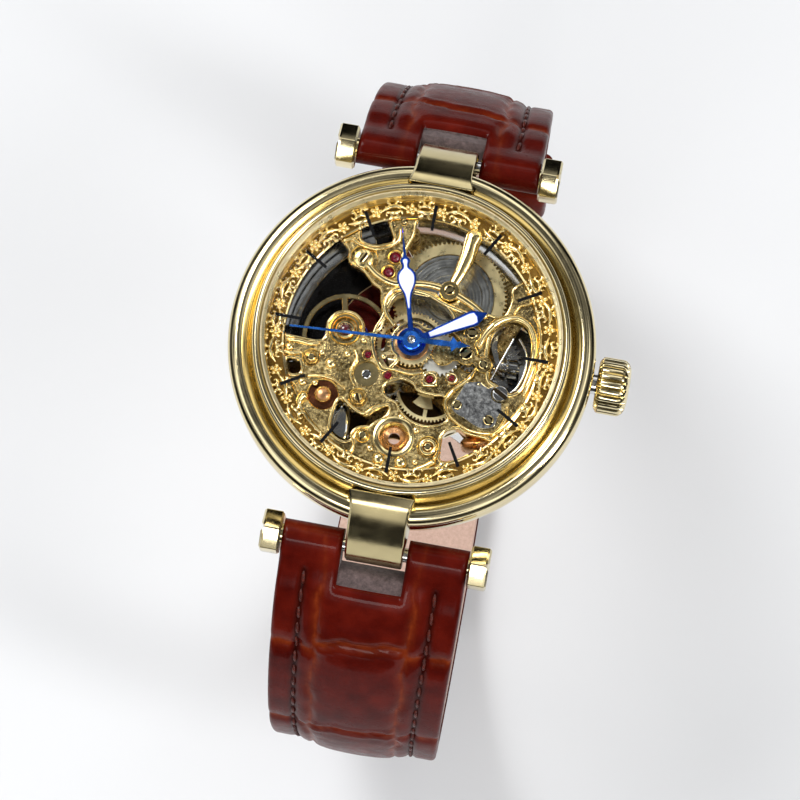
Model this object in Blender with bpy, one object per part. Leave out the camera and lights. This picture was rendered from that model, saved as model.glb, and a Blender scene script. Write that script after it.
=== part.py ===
# Skeleton wristwatch: open-worked hand-wound movement in a round gold case, central lugs
# with screwed T-bars, padded leather strap hanging as a loop below the case.
# All dimensions below are in millimetres; meshes are written in metres.
# Frame: +Z out of the dial, +Y towards 12 o'clock, +X towards the crown (3 o'clock).
# Origin: centre of the flat outer face of the case back.
import math
from math import sin, cos, pi, radians, hypot, atan2

import bpy
import bmesh
from mathutils import Vector, Matrix
from mathutils.geometry import delaunay_2d_cdt

MM = 0.001
SEG = 40                       # facets of the large round case pieces

# ---- driving dimensions ---------------------------------------------------------------
BACK_THICK = 1.3
PLATE_R, PLATE_Z0, PLATE_Z1 = 13.1, 7.0, 8.6
RECESS_Z = 7.6                 # floor of the pocket for the wheels under the hands
BRIDGE_Z0, BRIDGE_Z1 = 3.45, 4.1
STEM_Z = 4.7                   # height of the stem and crown axis
STRAP_W0, STRAP_W12, STRAP_W6 = 19.4, 17.0, 16.4
STRAP_12_LEN = 66.0
LUG_W = 6.0
BAR_Y, BAR_Z, BAR_R = 20.97, 3.05, 0.75
LOOP_A12, LOOP_A6 = 34.0, 37.0  # how far the strap loop reaches on its 12 and its 6 side
LOOP_B = 36.0                  # half height of the loop
LOOP_BOTTOM = -60.1            # the loop's middle line lies flat at this height

# wheel centres, seen from the dial
CENTRE = (0.0, 0.0)
BARREL = (2.85, 6.05)
THIRD = (2.5, -3.4)
ESCAPE = (-1.8, -3.8)
PALLET = (-4.2, -2.0)
BALANCE = (-7.0, 0.2)
MINUTE = (3.0, -0.5)
SETTING = (6.16, -0.82)
CROWN_WHEEL = (8.4, 0.6)
CLICK = (-3.12, 7.55)
LEVER_PIN = (11.0, -3.9)
YOKE_PIN = (8.2, 3.6)

# tooth counts
Z_BARREL, Z_CENTRE_P = 80, 10
Z_CENTRE, Z_THIRD_P = 64, 8
Z_THIRD, Z_FOURTH_P = 60, 8
Z_FOURTH, Z_ESCAPE_P = 80, 8
Z_CANNON, Z_MINUTE, Z_MINUTE_P, Z_HOUR = 10, 30, 8, 32
Z_SETTING = 12
Z_RATCHET, Z_CROWN_WHEEL = 48, 30

for old in list(bpy.data.objects):
    bpy.data.objects.remove(old, do_unlink=True)


# ---- mesh helpers ---------------------------------------------------------------------
def dist(a, b):
    return hypot(a[0] - b[0], a[1] - b[1])


def angle(a, b):
    return atan2(b[1] - a[1], b[0] - a[0])


def polar(c, r, a):
    return (c[0] + r * cos(a), c[1] + r * sin(a))


def circle(c, r, n=24, phase=0.0):
    return [polar(c, r, phase + 2 * pi * i / n) for i in range(n)]


def bar(a, b, w0, w1=None):
    """A straight arm from a to b."""
    w1 = w0 if w1 is None else w1
    t = angle(a, b) + pi / 2
    return [polar(a, w0 / 2, t + pi), polar(b, w1 / 2, t + pi), polar(b, w1 / 2, t), polar(a, w0 / 2, t)]


def arc_band(c, r0, r1, a0, a1, n):
    a0, a1 = radians(a0), radians(a1)
    steps = [a0 + (a1 - a0) * i / n for i in range(n + 1)]
    return [polar(c, r1, a) for a in steps] + [polar(c, r0, a) for a in reversed(steps)]


def gear(c, z, m, phase, tip=0.75, root=1.25):
    """Outline with one point per tip and one per root; a tooth is centred on phase."""
    r = z * m / 2
    out = []
    for i in range(z):
        out.append(polar(c, r + tip * m, phase + 2 * pi * i / z))
        out.append(polar(c, r - root * m, phase + 2 * pi * (i + 0.5) / z))
    return out


def mesh_phase(ca, za, pa, cb, zb):
    """Phase that puts gear b in mesh with gear a, whose phase is pa."""
    line = angle(ca, cb)
    off = (pa - line) % (2 * pi / za)
    return line + pi - off * za / zb + pi / zb


def module(a, b, za, zb):
    return 2 * dist(a, b) / (za + zb)


def spokes(c, r0, r1, count, width, phase=0.0):
    """Openings between the spokes of a wheel."""
    out = []
    for i in range(count):
        a0 = phase + 2 * pi * i / count
        a1 = a0 + 2 * pi / count
        g0, g1 = width / 2 / r0, width / 2 / r1
        n = 24 // count
        inner = [polar(c, r0, a0 + g0 + (a1 - a0 - 2 * g0) * k / 2) for k in range(3)]
        outer = [polar(c, r1, a0 + g1 + (a1 - a0 - 2 * g1) * k / n) for k in range(n + 1)]
        out.append(outer + inner[::-1])
    return out


def ccw(p):
    s = sum(p[i - 1][0] * p[i][1] - p[i][0] * p[i - 1][1] for i in range(len(p)))
    return p if s > 0 else p[::-1]


def prisms(layers, axis="z"):
    """One closed solid from stacked layers (w0, w1, [added outlines], [removed outlines])."""
    verts, faces, owner = [], [], []
    for k, layer in enumerate(layers):
        for kind, group in (("add", layer[2]), ("sub", layer[3] if len(layer) > 3 else [])):
            for poly in group:
                poly = ccw(poly)
                faces.append(list(range(len(verts), len(verts) + len(poly))))
                verts += [Vector(p) for p in poly]
                owner.append((k, kind))
    v2, _, tris, _, _, src = delaunay_2d_cdt(verts, [], faces, 0, 1e-5)
    inside = []
    for t, tri in enumerate(tris):
        have = {owner[s] for s in src[t]}
        inside.append({k for k in range(len(layers)) if (k, "add") in have and (k, "sub") not in have})
    levels = sorted({round(w, 6) for layer in layers for w in layer[:2]})
    slabs = []
    for w0, w1 in zip(levels, levels[1:]):
        live = {k for k, layer in enumerate(layers) if layer[0] < (w0 + w1) / 2 < layer[1]}
        slabs.append({t for t in range(len(tris)) if inside[t] & live})
    index, out_v, out_f = {}, [], []

    def vert(i, level):
        if (i, level) not in index:
            index[(i, level)] = len(out_v)
            out_v.append((v2[i][0], v2[i][1], levels[level]))
        return index[(i, level)]

    for s, slab in enumerate(slabs):
        edges = {}
        for t in slab:
            tri = tris[t]
            for i in range(3):
                edges[(tri[i - 1], tri[i])] = True
        for a, b in edges:
            if (b, a) not in edges:
                out_f.append([vert(a, s), vert(b, s), vert(b, s + 1), vert(a, s + 1)])
    for level in range(len(levels)):
        below = slabs[level - 1] if level > 0 else set()
        above = slabs[level] if level < len(slabs) else set()
        for t in below - above:
            out_f.append([vert(i, level) for i in tris[t]])
        for t in above - below:
            out_f.append([vert(i, level) for i in reversed(tris[t])])
    if axis == "x":            # (across, up, along) becomes (along, across, up)
        out_v = [(w, u, v) for u, v, w in out_v]
    return out_v, out_f


def lathe(profile, n=SEG, axis="z", centre=(0.0, 0.0), phase=0.0):
    """Turn a closed profile of (radius, height); points on the axis share one vertex."""
    verts, rows, faces = [], [], []
    for r, h in profile:
        if r < 1e-6:
            rows.append([len(verts)] * n)
            verts.append((centre[0], centre[1], h))
        else:
            rows.append([len(verts) + i for i in range(n)])
            verts += [(*polar(centre, r, phase + 2 * pi * i / n), h) for i in range(n)]
    for k in range(len(rows)):
        a, b = rows[k - 1], rows[k]
        for i in range(n):
            j = (i + 1) % n
            f = []
            for v in (a[i], a[j], b[j], b[i]):
                if v not in f:
                    f.append(v)
            if len(f) > 2:
                faces.append(f)
    if axis == "x":
        verts = [(h, u, v) for u, v, h in verts]
    return verts, faces


def tidy(bm):
    bmesh.ops.remove_doubles(bm, verts=bm.verts, dist=2e-4)
    bmesh.ops.dissolve_degenerate(bm, edges=bm.edges, dist=1e-4)
    bmesh.ops.recalc_face_normals(bm, faces=bm.faces)


def to_mesh(shape, name="tmp"):
    me = bpy.data.meshes.new(name)
    me.from_pydata(shape[0], [], shape[1])
    bm = bmesh.new()
    bm.from_mesh(me)
    tidy(bm)
    bm.to_mesh(me)
    bm.free()
    return me


def boolean(shape, others, how="DIFFERENCE"):
    """Cut or join closed solids exactly."""
    for other in others:
        a = bpy.data.objects.new("a", to_mesh(shape))
        b = bpy.data.objects.new("b", to_mesh(other))
        for o in (a, b):
            bpy.context.scene.collection.objects.link(o)
        mod = a.modifiers.new("cut", "BOOLEAN")
        mod.operation, mod.solver, mod.object = how, "EXACT", b
        bpy.context.view_layer.update()
        me = bpy.data.meshes.new_from_object(a.evaluated_get(bpy.context.evaluated_depsgraph_get()))
        shape = ([tuple(v.co) for v in me.vertices], [list(p.vertices) for p in me.polygons])
        for o in (a, b):
            bpy.data.objects.remove(o, do_unlink=True)
    return shape


def box(x0, x1, y0, y1, z0, z1):
    return prisms([(z0, z1, [[(x0, y0), (x1, y0), (x1, y1), (x0, y1)]])])


def moved(shape, matrix):
    return [tuple(matrix @ Vector(v)) for v in shape[0]], shape[1]


METALS = {
    "gold": ((0.83, 0.64, 0.30), 0.18, 1.0), "brass": ((0.72, 0.56, 0.26), 0.3, 1.0),
    "steel": ((0.55, 0.56, 0.58), 0.25, 1.0), "blue": ((0.02, 0.06, 0.42), 0.25, 0.9),
    "leather": ((0.20, 0.035, 0.02), 0.35, 0.0), "rubber": ((0.02, 0.02, 0.02), 0.6, 0.0),
    "glass": ((0.85, 0.9, 0.92), 0.03, 0.0), "copper": ((0.65, 0.35, 0.2), 0.3, 1.0),
}
NODES = {}


def node(name, shape, look, pivot=(0, 0, 0), smooth=False):
    me = to_mesh(shape, name)
    bm = bmesh.new()
    bm.from_mesh(me)
    bmesh.ops.dissolve_limit(bm, angle_limit=radians(0.2), verts=bm.verts, edges=bm.edges)
    bmesh.ops.triangulate(bm, faces=bm.faces)
    bm.to_mesh(me)
    bm.free()
    pivot = Vector(pivot)
    for v in me.vertices:
        v.co = (v.co - pivot) * MM
    colour, rough, metal = METALS[look]
    mat = bpy.data.materials.new(name + "_" + look)
    mat.use_nodes = True
    bsdf = mat.node_tree.nodes["Principled BSDF"]
    bsdf.inputs["Base Color"].default_value = (*colour, 1)
    bsdf.inputs["Roughness"].default_value = rough
    bsdf.inputs["Metallic"].default_value = metal
    me.materials.append(mat)
    for p in me.polygons:
        p.use_smooth = smooth
    ob = bpy.data.objects.new(name, me)
    ob.location = pivot * MM
    bpy.context.scene.collection.objects.link(ob)
    NODES[name] = ob
    return ob


# ---- case -----------------------------------------------------------------------------
CASE_PROFILE = [(15.25, 1.5), (17.0, 1.5), (18.0, 2.3), (18.7, 3.6), (18.95, 5.2), (18.95, 6.0),
                (18.75, 6.95), (15.25, 6.95)]
TORUS = [polar((17.9, 7.9), 1.1, radians(a)) for a in (150, 112, 78, 45, 14, -12)]
BEZEL_PROFILE = ([(15.55, 7.0), (15.55, 11.05), (15.8, 11.3), (16.25, 11.2), (16.5, 9.9)] + TORUS
                 + [(18.9, 7.0)])
tube_hole = lathe([(0, 14.5), (1.15, 14.5), (1.15, 20.0), (0, 20.0)], 16, "x")
tube_hole = moved(tube_hole, Matrix.Translation((0, 0, STEM_Z)))
node("case_middle", boolean(lathe(CASE_PROFILE), [tube_hole]), "gold", smooth=True)
node("bezel", lathe(BEZEL_PROFILE), "gold", smooth=True)
node("crystal", lathe([(0, 11.05), (15.3, 11.05), (15.3, 11.75), (15.0, 11.95), (9.0, 12.2), (0, 12.3)]),
     "glass", smooth=True)
node("crystal_gasket", lathe([(15.34, 11.06), (15.5, 11.06), (15.5, 11.5), (15.34, 11.5)]), "rubber",
     smooth=True)
node("rehaut_ring", lathe([(15.06, 11.0), (15.1, 8.85), (15.4, 8.85), (15.4, 11.0)]), "gold", smooth=True)
node("engraved_ring", lathe([(13.16, 8.2), (15.15, 8.2), (15.15, 8.8), (13.16, 8.8)]), "gold", smooth=True)
stem_hole = lathe([(0, 12.5), (0.85, 12.5), (0.85, 16.0), (0, 16.0)], 12, "x")
stem_hole = moved(stem_hole, Matrix.Translation((0, 0, STEM_Z)))
node("movement_ring", boolean(lathe([(13.2, 1.6), (15.2, 1.6), (15.2, 8.15), (13.2, 8.15)]), [stem_hole]),
     "steel", smooth=True)
node("case_back_ring", lathe([(12.95, 0), (16.3, 0), (16.9, 0.6), (16.9, BACK_THICK), (12.95, BACK_THICK)]),
     "gold", smooth=True)
node("case_back_glass", lathe([(0, 0), (12.9, 0), (12.9, 1.1), (0, 1.1)]), "glass")

# lugs: one wide central lug at 12 and one at 6, standing on the bezel
LUG_SIDE = [(16.4, 10.9), (17.5, 10.6), (19.5, 9.2), (21.1, 7.2), (22.4, 4.5), (22.6, 2.5), (21.5, 1.0),
            (18.0, 1.0), (16.4, 6.0)]
GAP = 0.04
lug_cut = lathe([(14.0, 0.5), (16.9 + GAP, 0.5), (16.9 + GAP, 1.3), (17.0 + GAP, 1.46), (18.0 + GAP, 2.27),
                 (18.7 + GAP, 3.58), (18.95 + GAP, 5.2), (18.95 + GAP, 6.0), (18.95 + GAP, 7.0)]
                + [polar((17.9, 7.9), 1.1 + GAP, radians(a)) for a in (-12, 14, 45, 78, 112)]
                + [(16.97, 8.52), (16.55, 9.93), (16.3, 11.23), (16.2, 11.5), (14.0, 11.5)])
for side, tag in ((1, "12"), (-1, "6")):
    lug = prisms([(-LUG_W / 2, LUG_W / 2, [[(side * y, z) for y, z in LUG_SIDE]])], "x")
    hole = lathe([(0, -4), (0.8, -4), (0.8, 4), (0, 4)], 16, "x")
    hole = moved(hole, Matrix.Translation((0, side * BAR_Y, BAR_Z)))
    node("lug_" + tag, boolean(lug, [lug_cut, hole]), "gold")
    pivot = (0, side * BAR_Y, BAR_Z)
    bar_prof = [(0, -8.2), (0.45, -8.2), (0.45, -9.72), (BAR_R, -9.72), (BAR_R, 9.72), (0.45, 9.72),
                (0.45, 8.2), (0, 8.2)]
    node("t_bar_" + tag, moved(lathe(bar_prof, 12, "x"), Matrix.Translation(pivot)), "steel", smooth=True)
    for xs, xt in ((1, "right"), (-1, "left")):
        prof = [(0, 8.4 * xs), (0.38, 8.4 * xs), (0.38, 9.78 * xs), (2.2, 9.78 * xs), (2.42, 9.98 * xs),
                (2.42, 11.7 * xs), (2.2, 11.9 * xs), (0, 11.9 * xs)]
        head = moved(lathe(prof, 6, "x", phase=pi / 6 * 3), Matrix.Translation(pivot))
        x0, x1 = sorted((11.55 * xs, 12.1 * xs))
        slot = box(x0, x1, side * BAR_Y - 0.22, side * BAR_Y + 0.22, BAR_Z - 2.6, BAR_Z + 2.6)
        node(f"hex_screw_{tag}_{xt}", boolean(head, [slot]), "gold")

# ---- crown and winding ----------------------------------------------------------------
up = Matrix.Translation((0, 0, STEM_Z))
FLUTES = 22
node("crown_tube", moved(lathe([(0.62, 15.4), (1.1, 15.4), (1.1, 20.9), (0.62, 20.9)], 16, "x"), up),
     "steel", smooth=True)
flutes = [polar((0, STEM_Z), 2.95 if i % 2 == 0 else 2.7, 2 * pi * i / 44) for i in range(44)]
crown = prisms([
    (19.4, 21.2, [flutes], [circle((0, STEM_Z), 1.45, 12)]),
    (21.2, 22.0, [flutes], [circle((0, STEM_Z), 0.5, 12)]),
    (22.0, 22.4, [flutes]),
    (22.4, 22.7, [circle((0, STEM_Z), 2.55, 22)]), (22.7, 22.85, [circle((0, STEM_Z), 1.9, 22)])], "x")
node("crown", crown, "gold", pivot=(20, 0, STEM_Z))
node("crown_gasket", moved(lathe([(1.14, 19.6), (1.37, 19.6), (1.37, 20.0), (1.14, 20.0)], 16, "x"), up),
     "rubber", pivot=(20, 0, STEM_Z), smooth=True)
stem = [(0, 7.6), (0.4, 7.6), (0.4, 11.35), (0.22, 11.35), (0.22, 11.8), (0.45, 11.8), (0.45, 21.9), (0, 21.9)]
node("winding_stem", moved(lathe(stem, 10, "x"), up), "steel", pivot=(20, 0, STEM_Z), smooth=True)
axis2 = (0, STEM_Z)
node("winding_pinion", prisms([
    (10.1, 10.35, [gear(axis2, 14, 0.12, 0)], [circle(axis2, 0.5, 10)]),
    (10.35, 11.1, [gear(axis2, 14, 0.17, 0)], [circle(axis2, 0.5, 10)])], "x"), "steel",
     pivot=(10.6, 0, STEM_Z))
node("clutch_wheel", prisms([
    (8.5, 8.85, [gear(axis2, 12, 0.14, 0)], [circle(axis2, 0.5, 10)]),
    (8.85, 9.2, [circle(axis2, 0.62, 12)], [circle(axis2, 0.5, 10)]),
    (9.2, 9.9, [circle(axis2, 0.9, 12)], [circle(axis2, 0.5, 10)])], "x"), "steel",
     pivot=(9.0, 0, STEM_Z))

# ---- gear phases and sizes ------------------------------------------------------------
M_BARREL = module(BARREL, CENTRE, Z_BARREL, Z_CENTRE_P)
M_CENTRE = module(CENTRE, THIRD, Z_CENTRE, Z_THIRD_P)
M_THIRD = module(THIRD, CENTRE, Z_THIRD, Z_FOURTH_P)
M_FOURTH = module(CENTRE, ESCAPE, Z_FOURTH, Z_ESCAPE_P)
M_MOTION = module(CENTRE, MINUTE, Z_CANNON, Z_MINUTE)
M_RATCHET = module(BARREL, CROWN_WHEEL, Z_RATCHET, Z_CROWN_WHEEL)
ph_centre_p = mesh_phase(BARREL, Z_BARREL, 0, CENTRE, Z_CENTRE_P)
ph_third_p = mesh_phase(CENTRE, Z_CENTRE, 0, THIRD, Z_THIRD_P)
ph_fourth_p = mesh_phase(THIRD, Z_THIRD, 0, CENTRE, Z_FOURTH_P)
ph_escape_p = mesh_phase(CENTRE, Z_FOURTH, 0, ESCAPE, Z_ESCAPE_P)
ph_minute = mesh_phase(CENTRE, Z_CANNON, 0, MINUTE, Z_MINUTE)
ph_hour = mesh_phase(MINUTE, Z_MINUTE_P, 0, CENTRE, Z_HOUR)
ph_set = mesh_phase(MINUTE, Z_MINUTE, ph_minute, SETTING, Z_SETTING)
ph_crown_wheel = mesh_phase(BARREL, Z_RATCHET, 0, CROWN_WHEEL, Z_CROWN_WHEEL)

# ---- going train ----------------------------------------------------------------------
B3 = (*BARREL, 5)
bore = circle(BARREL, 0.75, 12)
node("barrel_drum", prisms([
    (4.55, 4.75, [circle(BARREL, 5.3, 36)], [bore]),
    (4.75, 5.3, [circle(BARREL, 5.3, 36)], [circle(BARREL, 4.9, 36)]),
    (5.3, 5.65, [gear(BARREL, Z_BARREL, M_BARREL, 0)], [circle(BARREL, 4.9, 36)]),
    (5.65, 5.8, [gear(BARREL, Z_BARREL, M_BARREL, 0)], [bore])]), "brass", pivot=B3)


def spiral(c, r0, r1, turns, per_turn, thick, z0, z1, phase=0.0):
    """A flat coiled spring as one ribbon."""
    n = int(turns * per_turn)
    verts, faces = [], []
    for i in range(n + 1):
        a, r = phase + 2 * pi * i / per_turn, r0 + (r1 - r0) * i / n
        for rr, z in ((r - thick / 2, z0), (r + thick / 2, z0), (r + thick / 2, z1), (r - thick / 2, z1)):
            verts.append((*polar(c, rr, a), z))
    for i in range(n):
        for k in range(4):
            a, b = 4 * i + k, 4 * i + (k + 1) % 4
            faces.append([a, b, b + 4, a + 4])
    faces += [[0, 3, 2, 1], [4 * n, 4 * n + 1, 4 * n + 2, 4 * n + 3]]
    return verts, faces


node("mainspring", spiral(BARREL, 1.2, 4.65, 3.5, 12, 0.14, 4.85, 5.55), "steel", pivot=B3)
node("barrel_arbor", prisms([
    (2.9, 3.38, [circle(BARREL, 0.3, 8)]), (3.38, 5.9, [circle(BARREL, 0.6, 12)]),
    (5.9, 7.7, [circle(BARREL, 0.4, 12)])]), "steel", pivot=(*BARREL, 5))
node("ratchet_wheel", prisms([
    (2.98, 3.34, [gear(BARREL, Z_RATCHET, M_RATCHET, 0)], [circle(BARREL, 0.36, 8)])]), "steel",
     pivot=(*BARREL, 3.15))
node("crown_wheel", prisms([
    (2.98, 3.34, [gear(CROWN_WHEEL, Z_CROWN_WHEEL, M_RATCHET, ph_crown_wheel)],
     [circle(CROWN_WHEEL, 0.62, 10)])]), "steel", pivot=(*CROWN_WHEEL, 3.15))
tip_r = Z_RATCHET * M_RATCHET / 2 + 0.75 * M_RATCHET
nose = polar(BARREL, tip_r + 0.06, radians(138))
node("click", prisms([
    (2.98, 3.3, [circle(CLICK, 0.75, 12), ccw([polar(CLICK, 0.7, radians(80)), polar(CLICK, 0.7, radians(-60)),
                                              nose])], [circle(CLICK, 0.34, 8)])]), "steel",
     pivot=(*CLICK, 3.15))

tube_in, tube_out = circle(CENTRE, 0.22, 10), circle(CENTRE, 0.42, 10)
rc = Z_CENTRE * M_CENTRE / 2
node("centre_wheel", prisms([
    (5.15, 5.95, [gear(CENTRE, Z_CENTRE_P, M_BARREL, ph_centre_p)], [tube_in]),
    (5.95, 6.1, [circle(CENTRE, 0.55, 10)], [tube_in]),
    (6.1, 6.3, [gear(CENTRE, Z_CENTRE, M_CENTRE, 0)], [tube_in] + spokes(CENTRE, 0.9, rc - 0.5, 4, 0.45, 0.4)),
    (6.3, 9.0, [tube_out], [tube_in])]), "gold", pivot=(0, 0, 6))
rt = Z_THIRD * M_THIRD / 2
pivot_hole = 0.2


def arbor(c, z0, z1, r=0.2, pin=0.12):
    return [(z0 - 0.5, z0, [circle(c, pin, 6)]), (z0, z1, [circle(c, r, 8)]),
            (z1, z1 + 0.5, [circle(c, pin, 6)])]


node("third_wheel", prisms(arbor(THIRD, 4.2, 6.9) + [
    (4.65, 4.8, [gear(THIRD, Z_THIRD, M_THIRD, 0)], spokes(THIRD, 0.8, rt - 0.5, 4, 0.45)),
    (5.95, 6.45, [gear(THIRD, Z_THIRD_P, M_CENTRE, ph_third_p)])]), "gold", pivot=(*THIRD, 5))
r4 = Z_FOURTH * M_FOURTH / 2
node("fourth_wheel", prisms([
    (3.6, 4.2, [circle(CENTRE, 0.12, 6)]), (4.2, 10.45, [circle(CENTRE, 0.15, 8)]),
    (4.25, 4.4, [gear(CENTRE, Z_FOURTH, M_FOURTH, 0)], spokes(CENTRE, 0.9, r4 - 0.45, 4, 0.4, 0.2)),
    (4.4, 5.0, [gear(CENTRE, Z_FOURTH_P, M_THIRD, ph_fourth_p)])]), "brass", pivot=(0, 0, 6))
escape = []
for i in range(15):
    a = 2 * pi * i / 15
    escape += [polar(ESCAPE, 1.55, a - 0.32), polar(ESCAPE, 1.55, a - 0.1), polar(ESCAPE, 1.98, a - 0.06),
               polar(ESCAPE, 2.05, a)]
node("escape_wheel", prisms(arbor(ESCAPE, 4.15, 6.9, 0.15, 0.1) + [
    (4.17, 4.5, [gear(ESCAPE, Z_ESCAPE_P, M_FOURTH, ph_escape_p)]),
    (5.5, 5.65, [escape], spokes(ESCAPE, 0.45, 1.3, 4, 0.25))]), "steel", pivot=(*ESCAPE, 5))

# lever escapement and balance
to_e, to_b = angle(PALLET, ESCAPE), angle(PALLET, BALANCE)
stone_a, stone_b = (polar(ESCAPE, 2.33, to_e + pi + s * radians(32)) for s in (1, -1))
fork_end = polar(PALLET, 2.55, to_b)
horns = [polar(fork_end, 0.42, to_b + s) for s in (radians(75), radians(-75))]
fork = [circle(PALLET, 0.55, 10), bar(PALLET, stone_a, 0.45, 0.3), bar(PALLET, stone_b, 0.45, 0.3),
        bar(PALLET, fork_end, 0.4, 0.3),
        bar(horns[0], polar(horns[0], 0.3, to_b), 0.2), bar(horns[1], polar(horns[1], 0.3, to_b), 0.2),
        bar(horns[0], horns[1], 0.24)]
node("pallet_fork", prisms([
    (5.1, 5.4, [circle(PALLET, 0.1, 6)]), (5.4, 6.9, [circle(PALLET, 0.15, 8)]),
    (6.9, 7.4, [circle(PALLET, 0.1, 6)]), (5.5, 5.7, fork)]), "steel",
     pivot=(*PALLET, 5.6))
pin = polar(BALANCE, 0.42, to_b + pi)
node("balance_wheel", prisms([
    (3.6, 4.15, [circle(BALANCE, 0.1, 6)]), (4.15, 4.5, [circle(BALANCE, 0.5, 10)]),
    (4.5, 6.9, [circle(BALANCE, 0.18, 8)]), (6.9, 7.4, [circle(BALANCE, 0.1, 6)]),
    (4.6, 5.0, [circle(BALANCE, 4.65, 32)], spokes(BALANCE, 1.0, 4.1, 2, 0.7, radians(103))),
    (5.0, 5.4, [circle(BALANCE, 0.6, 10)]), (5.4, 5.47, [circle(pin, 0.1, 6)])]), "gold",
     pivot=(*BALANCE, 4.8))
node("hairspring", spiral(BALANCE, 0.72, 2.45, 5, 12, 0.06, 4.26, 4.44, 0.3), "steel",
     pivot=(*BALANCE, 4.35))

# ---- bridges, with feet that reach the main plate -------------------------------------
FEET_B = [(-2.1, 11.8), (10.4, 6.0)]
FEET_T = [(8.6, -8.4), (-3.9, -11.2)]
FOOT_K = (-10.0, -6.0)
z0, z1, top = BRIDGE_Z0, BRIDGE_Z1, PLATE_Z0 - 0.02
feet = [circle(f, 0.8, 10) for f in FEET_B]
plan_b = [circle(BARREL, 2.0, 20), circle(CROWN_WHEEL, 1.4, 14), circle(CLICK, 1.1, 12),
          arc_band(CENTRE, 11.1, 12.8, 30, 100, 12), bar(BARREL, FEET_B[0], 1.8), bar(BARREL, FEET_B[1], 1.8),
          bar(BARREL, CLICK, 1.5), bar(CROWN_WHEEL, FEET_B[1], 1.5), bar(BARREL, CROWN_WHEEL, 1.8)]
trench = [(7.0, -1.05), (12.0, -1.05), (12.0, 1.05), (7.0, 1.05)]      # room for the clutch
arbor_hole = circle(BARREL, 0.66, 12)
node("barrel_bridge", prisms([
    (z0, 3.7, plan_b, [arbor_hole]), (3.7, z1, plan_b, [arbor_hole, trench]),
    (2.9, z0, [circle(CROWN_WHEEL, 0.5, 8), circle(CLICK, 0.28, 8)]),
    (z1, top, feet)]), "gold")
holes = [circle(c, pivot_hole, 6) for c in (CENTRE, THIRD, ESCAPE)]
node("train_bridge", prisms([
    (z0, z1, [circle(CENTRE, 1.2, 12), circle(THIRD, 1.2, 12), circle(ESCAPE, 1.0, 12), bar(CENTRE, THIRD, 1.4),
              bar(CENTRE, ESCAPE, 1.2), bar(THIRD, ESCAPE, 1.2), bar(THIRD, FEET_T[0], 1.5),
              bar(ESCAPE, FEET_T[1], 1.5), circle(FEET_T[0], 1.1, 12), circle(FEET_T[1], 1.1, 12)], holes),
    (z1, top, [circle(f, 0.8, 10) for f in FEET_T])]), "gold")
stud = polar(BALANCE, 2.75, 0.3)
node("balance_cock", prisms([
    (z0, z1, [circle(BALANCE, 1.3, 14), circle(FOOT_K, 1.2, 12), bar(BALANCE, FOOT_K, 1.6, 2.2),
              bar(BALANCE, stud, 0.8)], [circle(BALANCE, pivot_hole, 6)]),
    (z1, top, [circle(FOOT_K, 0.9, 10)]), (z1, 4.45, [circle(stud, 0.2, 6)])]), "gold")
feet_p = [(-5.9, -4.3), (-4.6, -5.0)]
node("pallet_bridge", prisms([
    (5.08, 5.36, [circle(PALLET, 0.8, 10), bar(PALLET, feet_p[0], 1.0), bar(feet_p[0], feet_p[1], 0.9),
                  circle(feet_p[0], 0.7, 10), circle(feet_p[1], 0.7, 10)], [circle(PALLET, 0.22, 6)]),
    (5.36, top, [circle(f, 0.55, 8) for f in feet_p])]), "gold")

# ---- main plate -----------------------------------------------------------------------


def rim(a0, a1, n=8, r=13.4):
    """Points beyond the plate's edge, for an opening that runs out through it."""
    return [polar(CENTRE, r, radians(a0 + (a1 - a0) * i / n)) for i in range(n + 1)]


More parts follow.
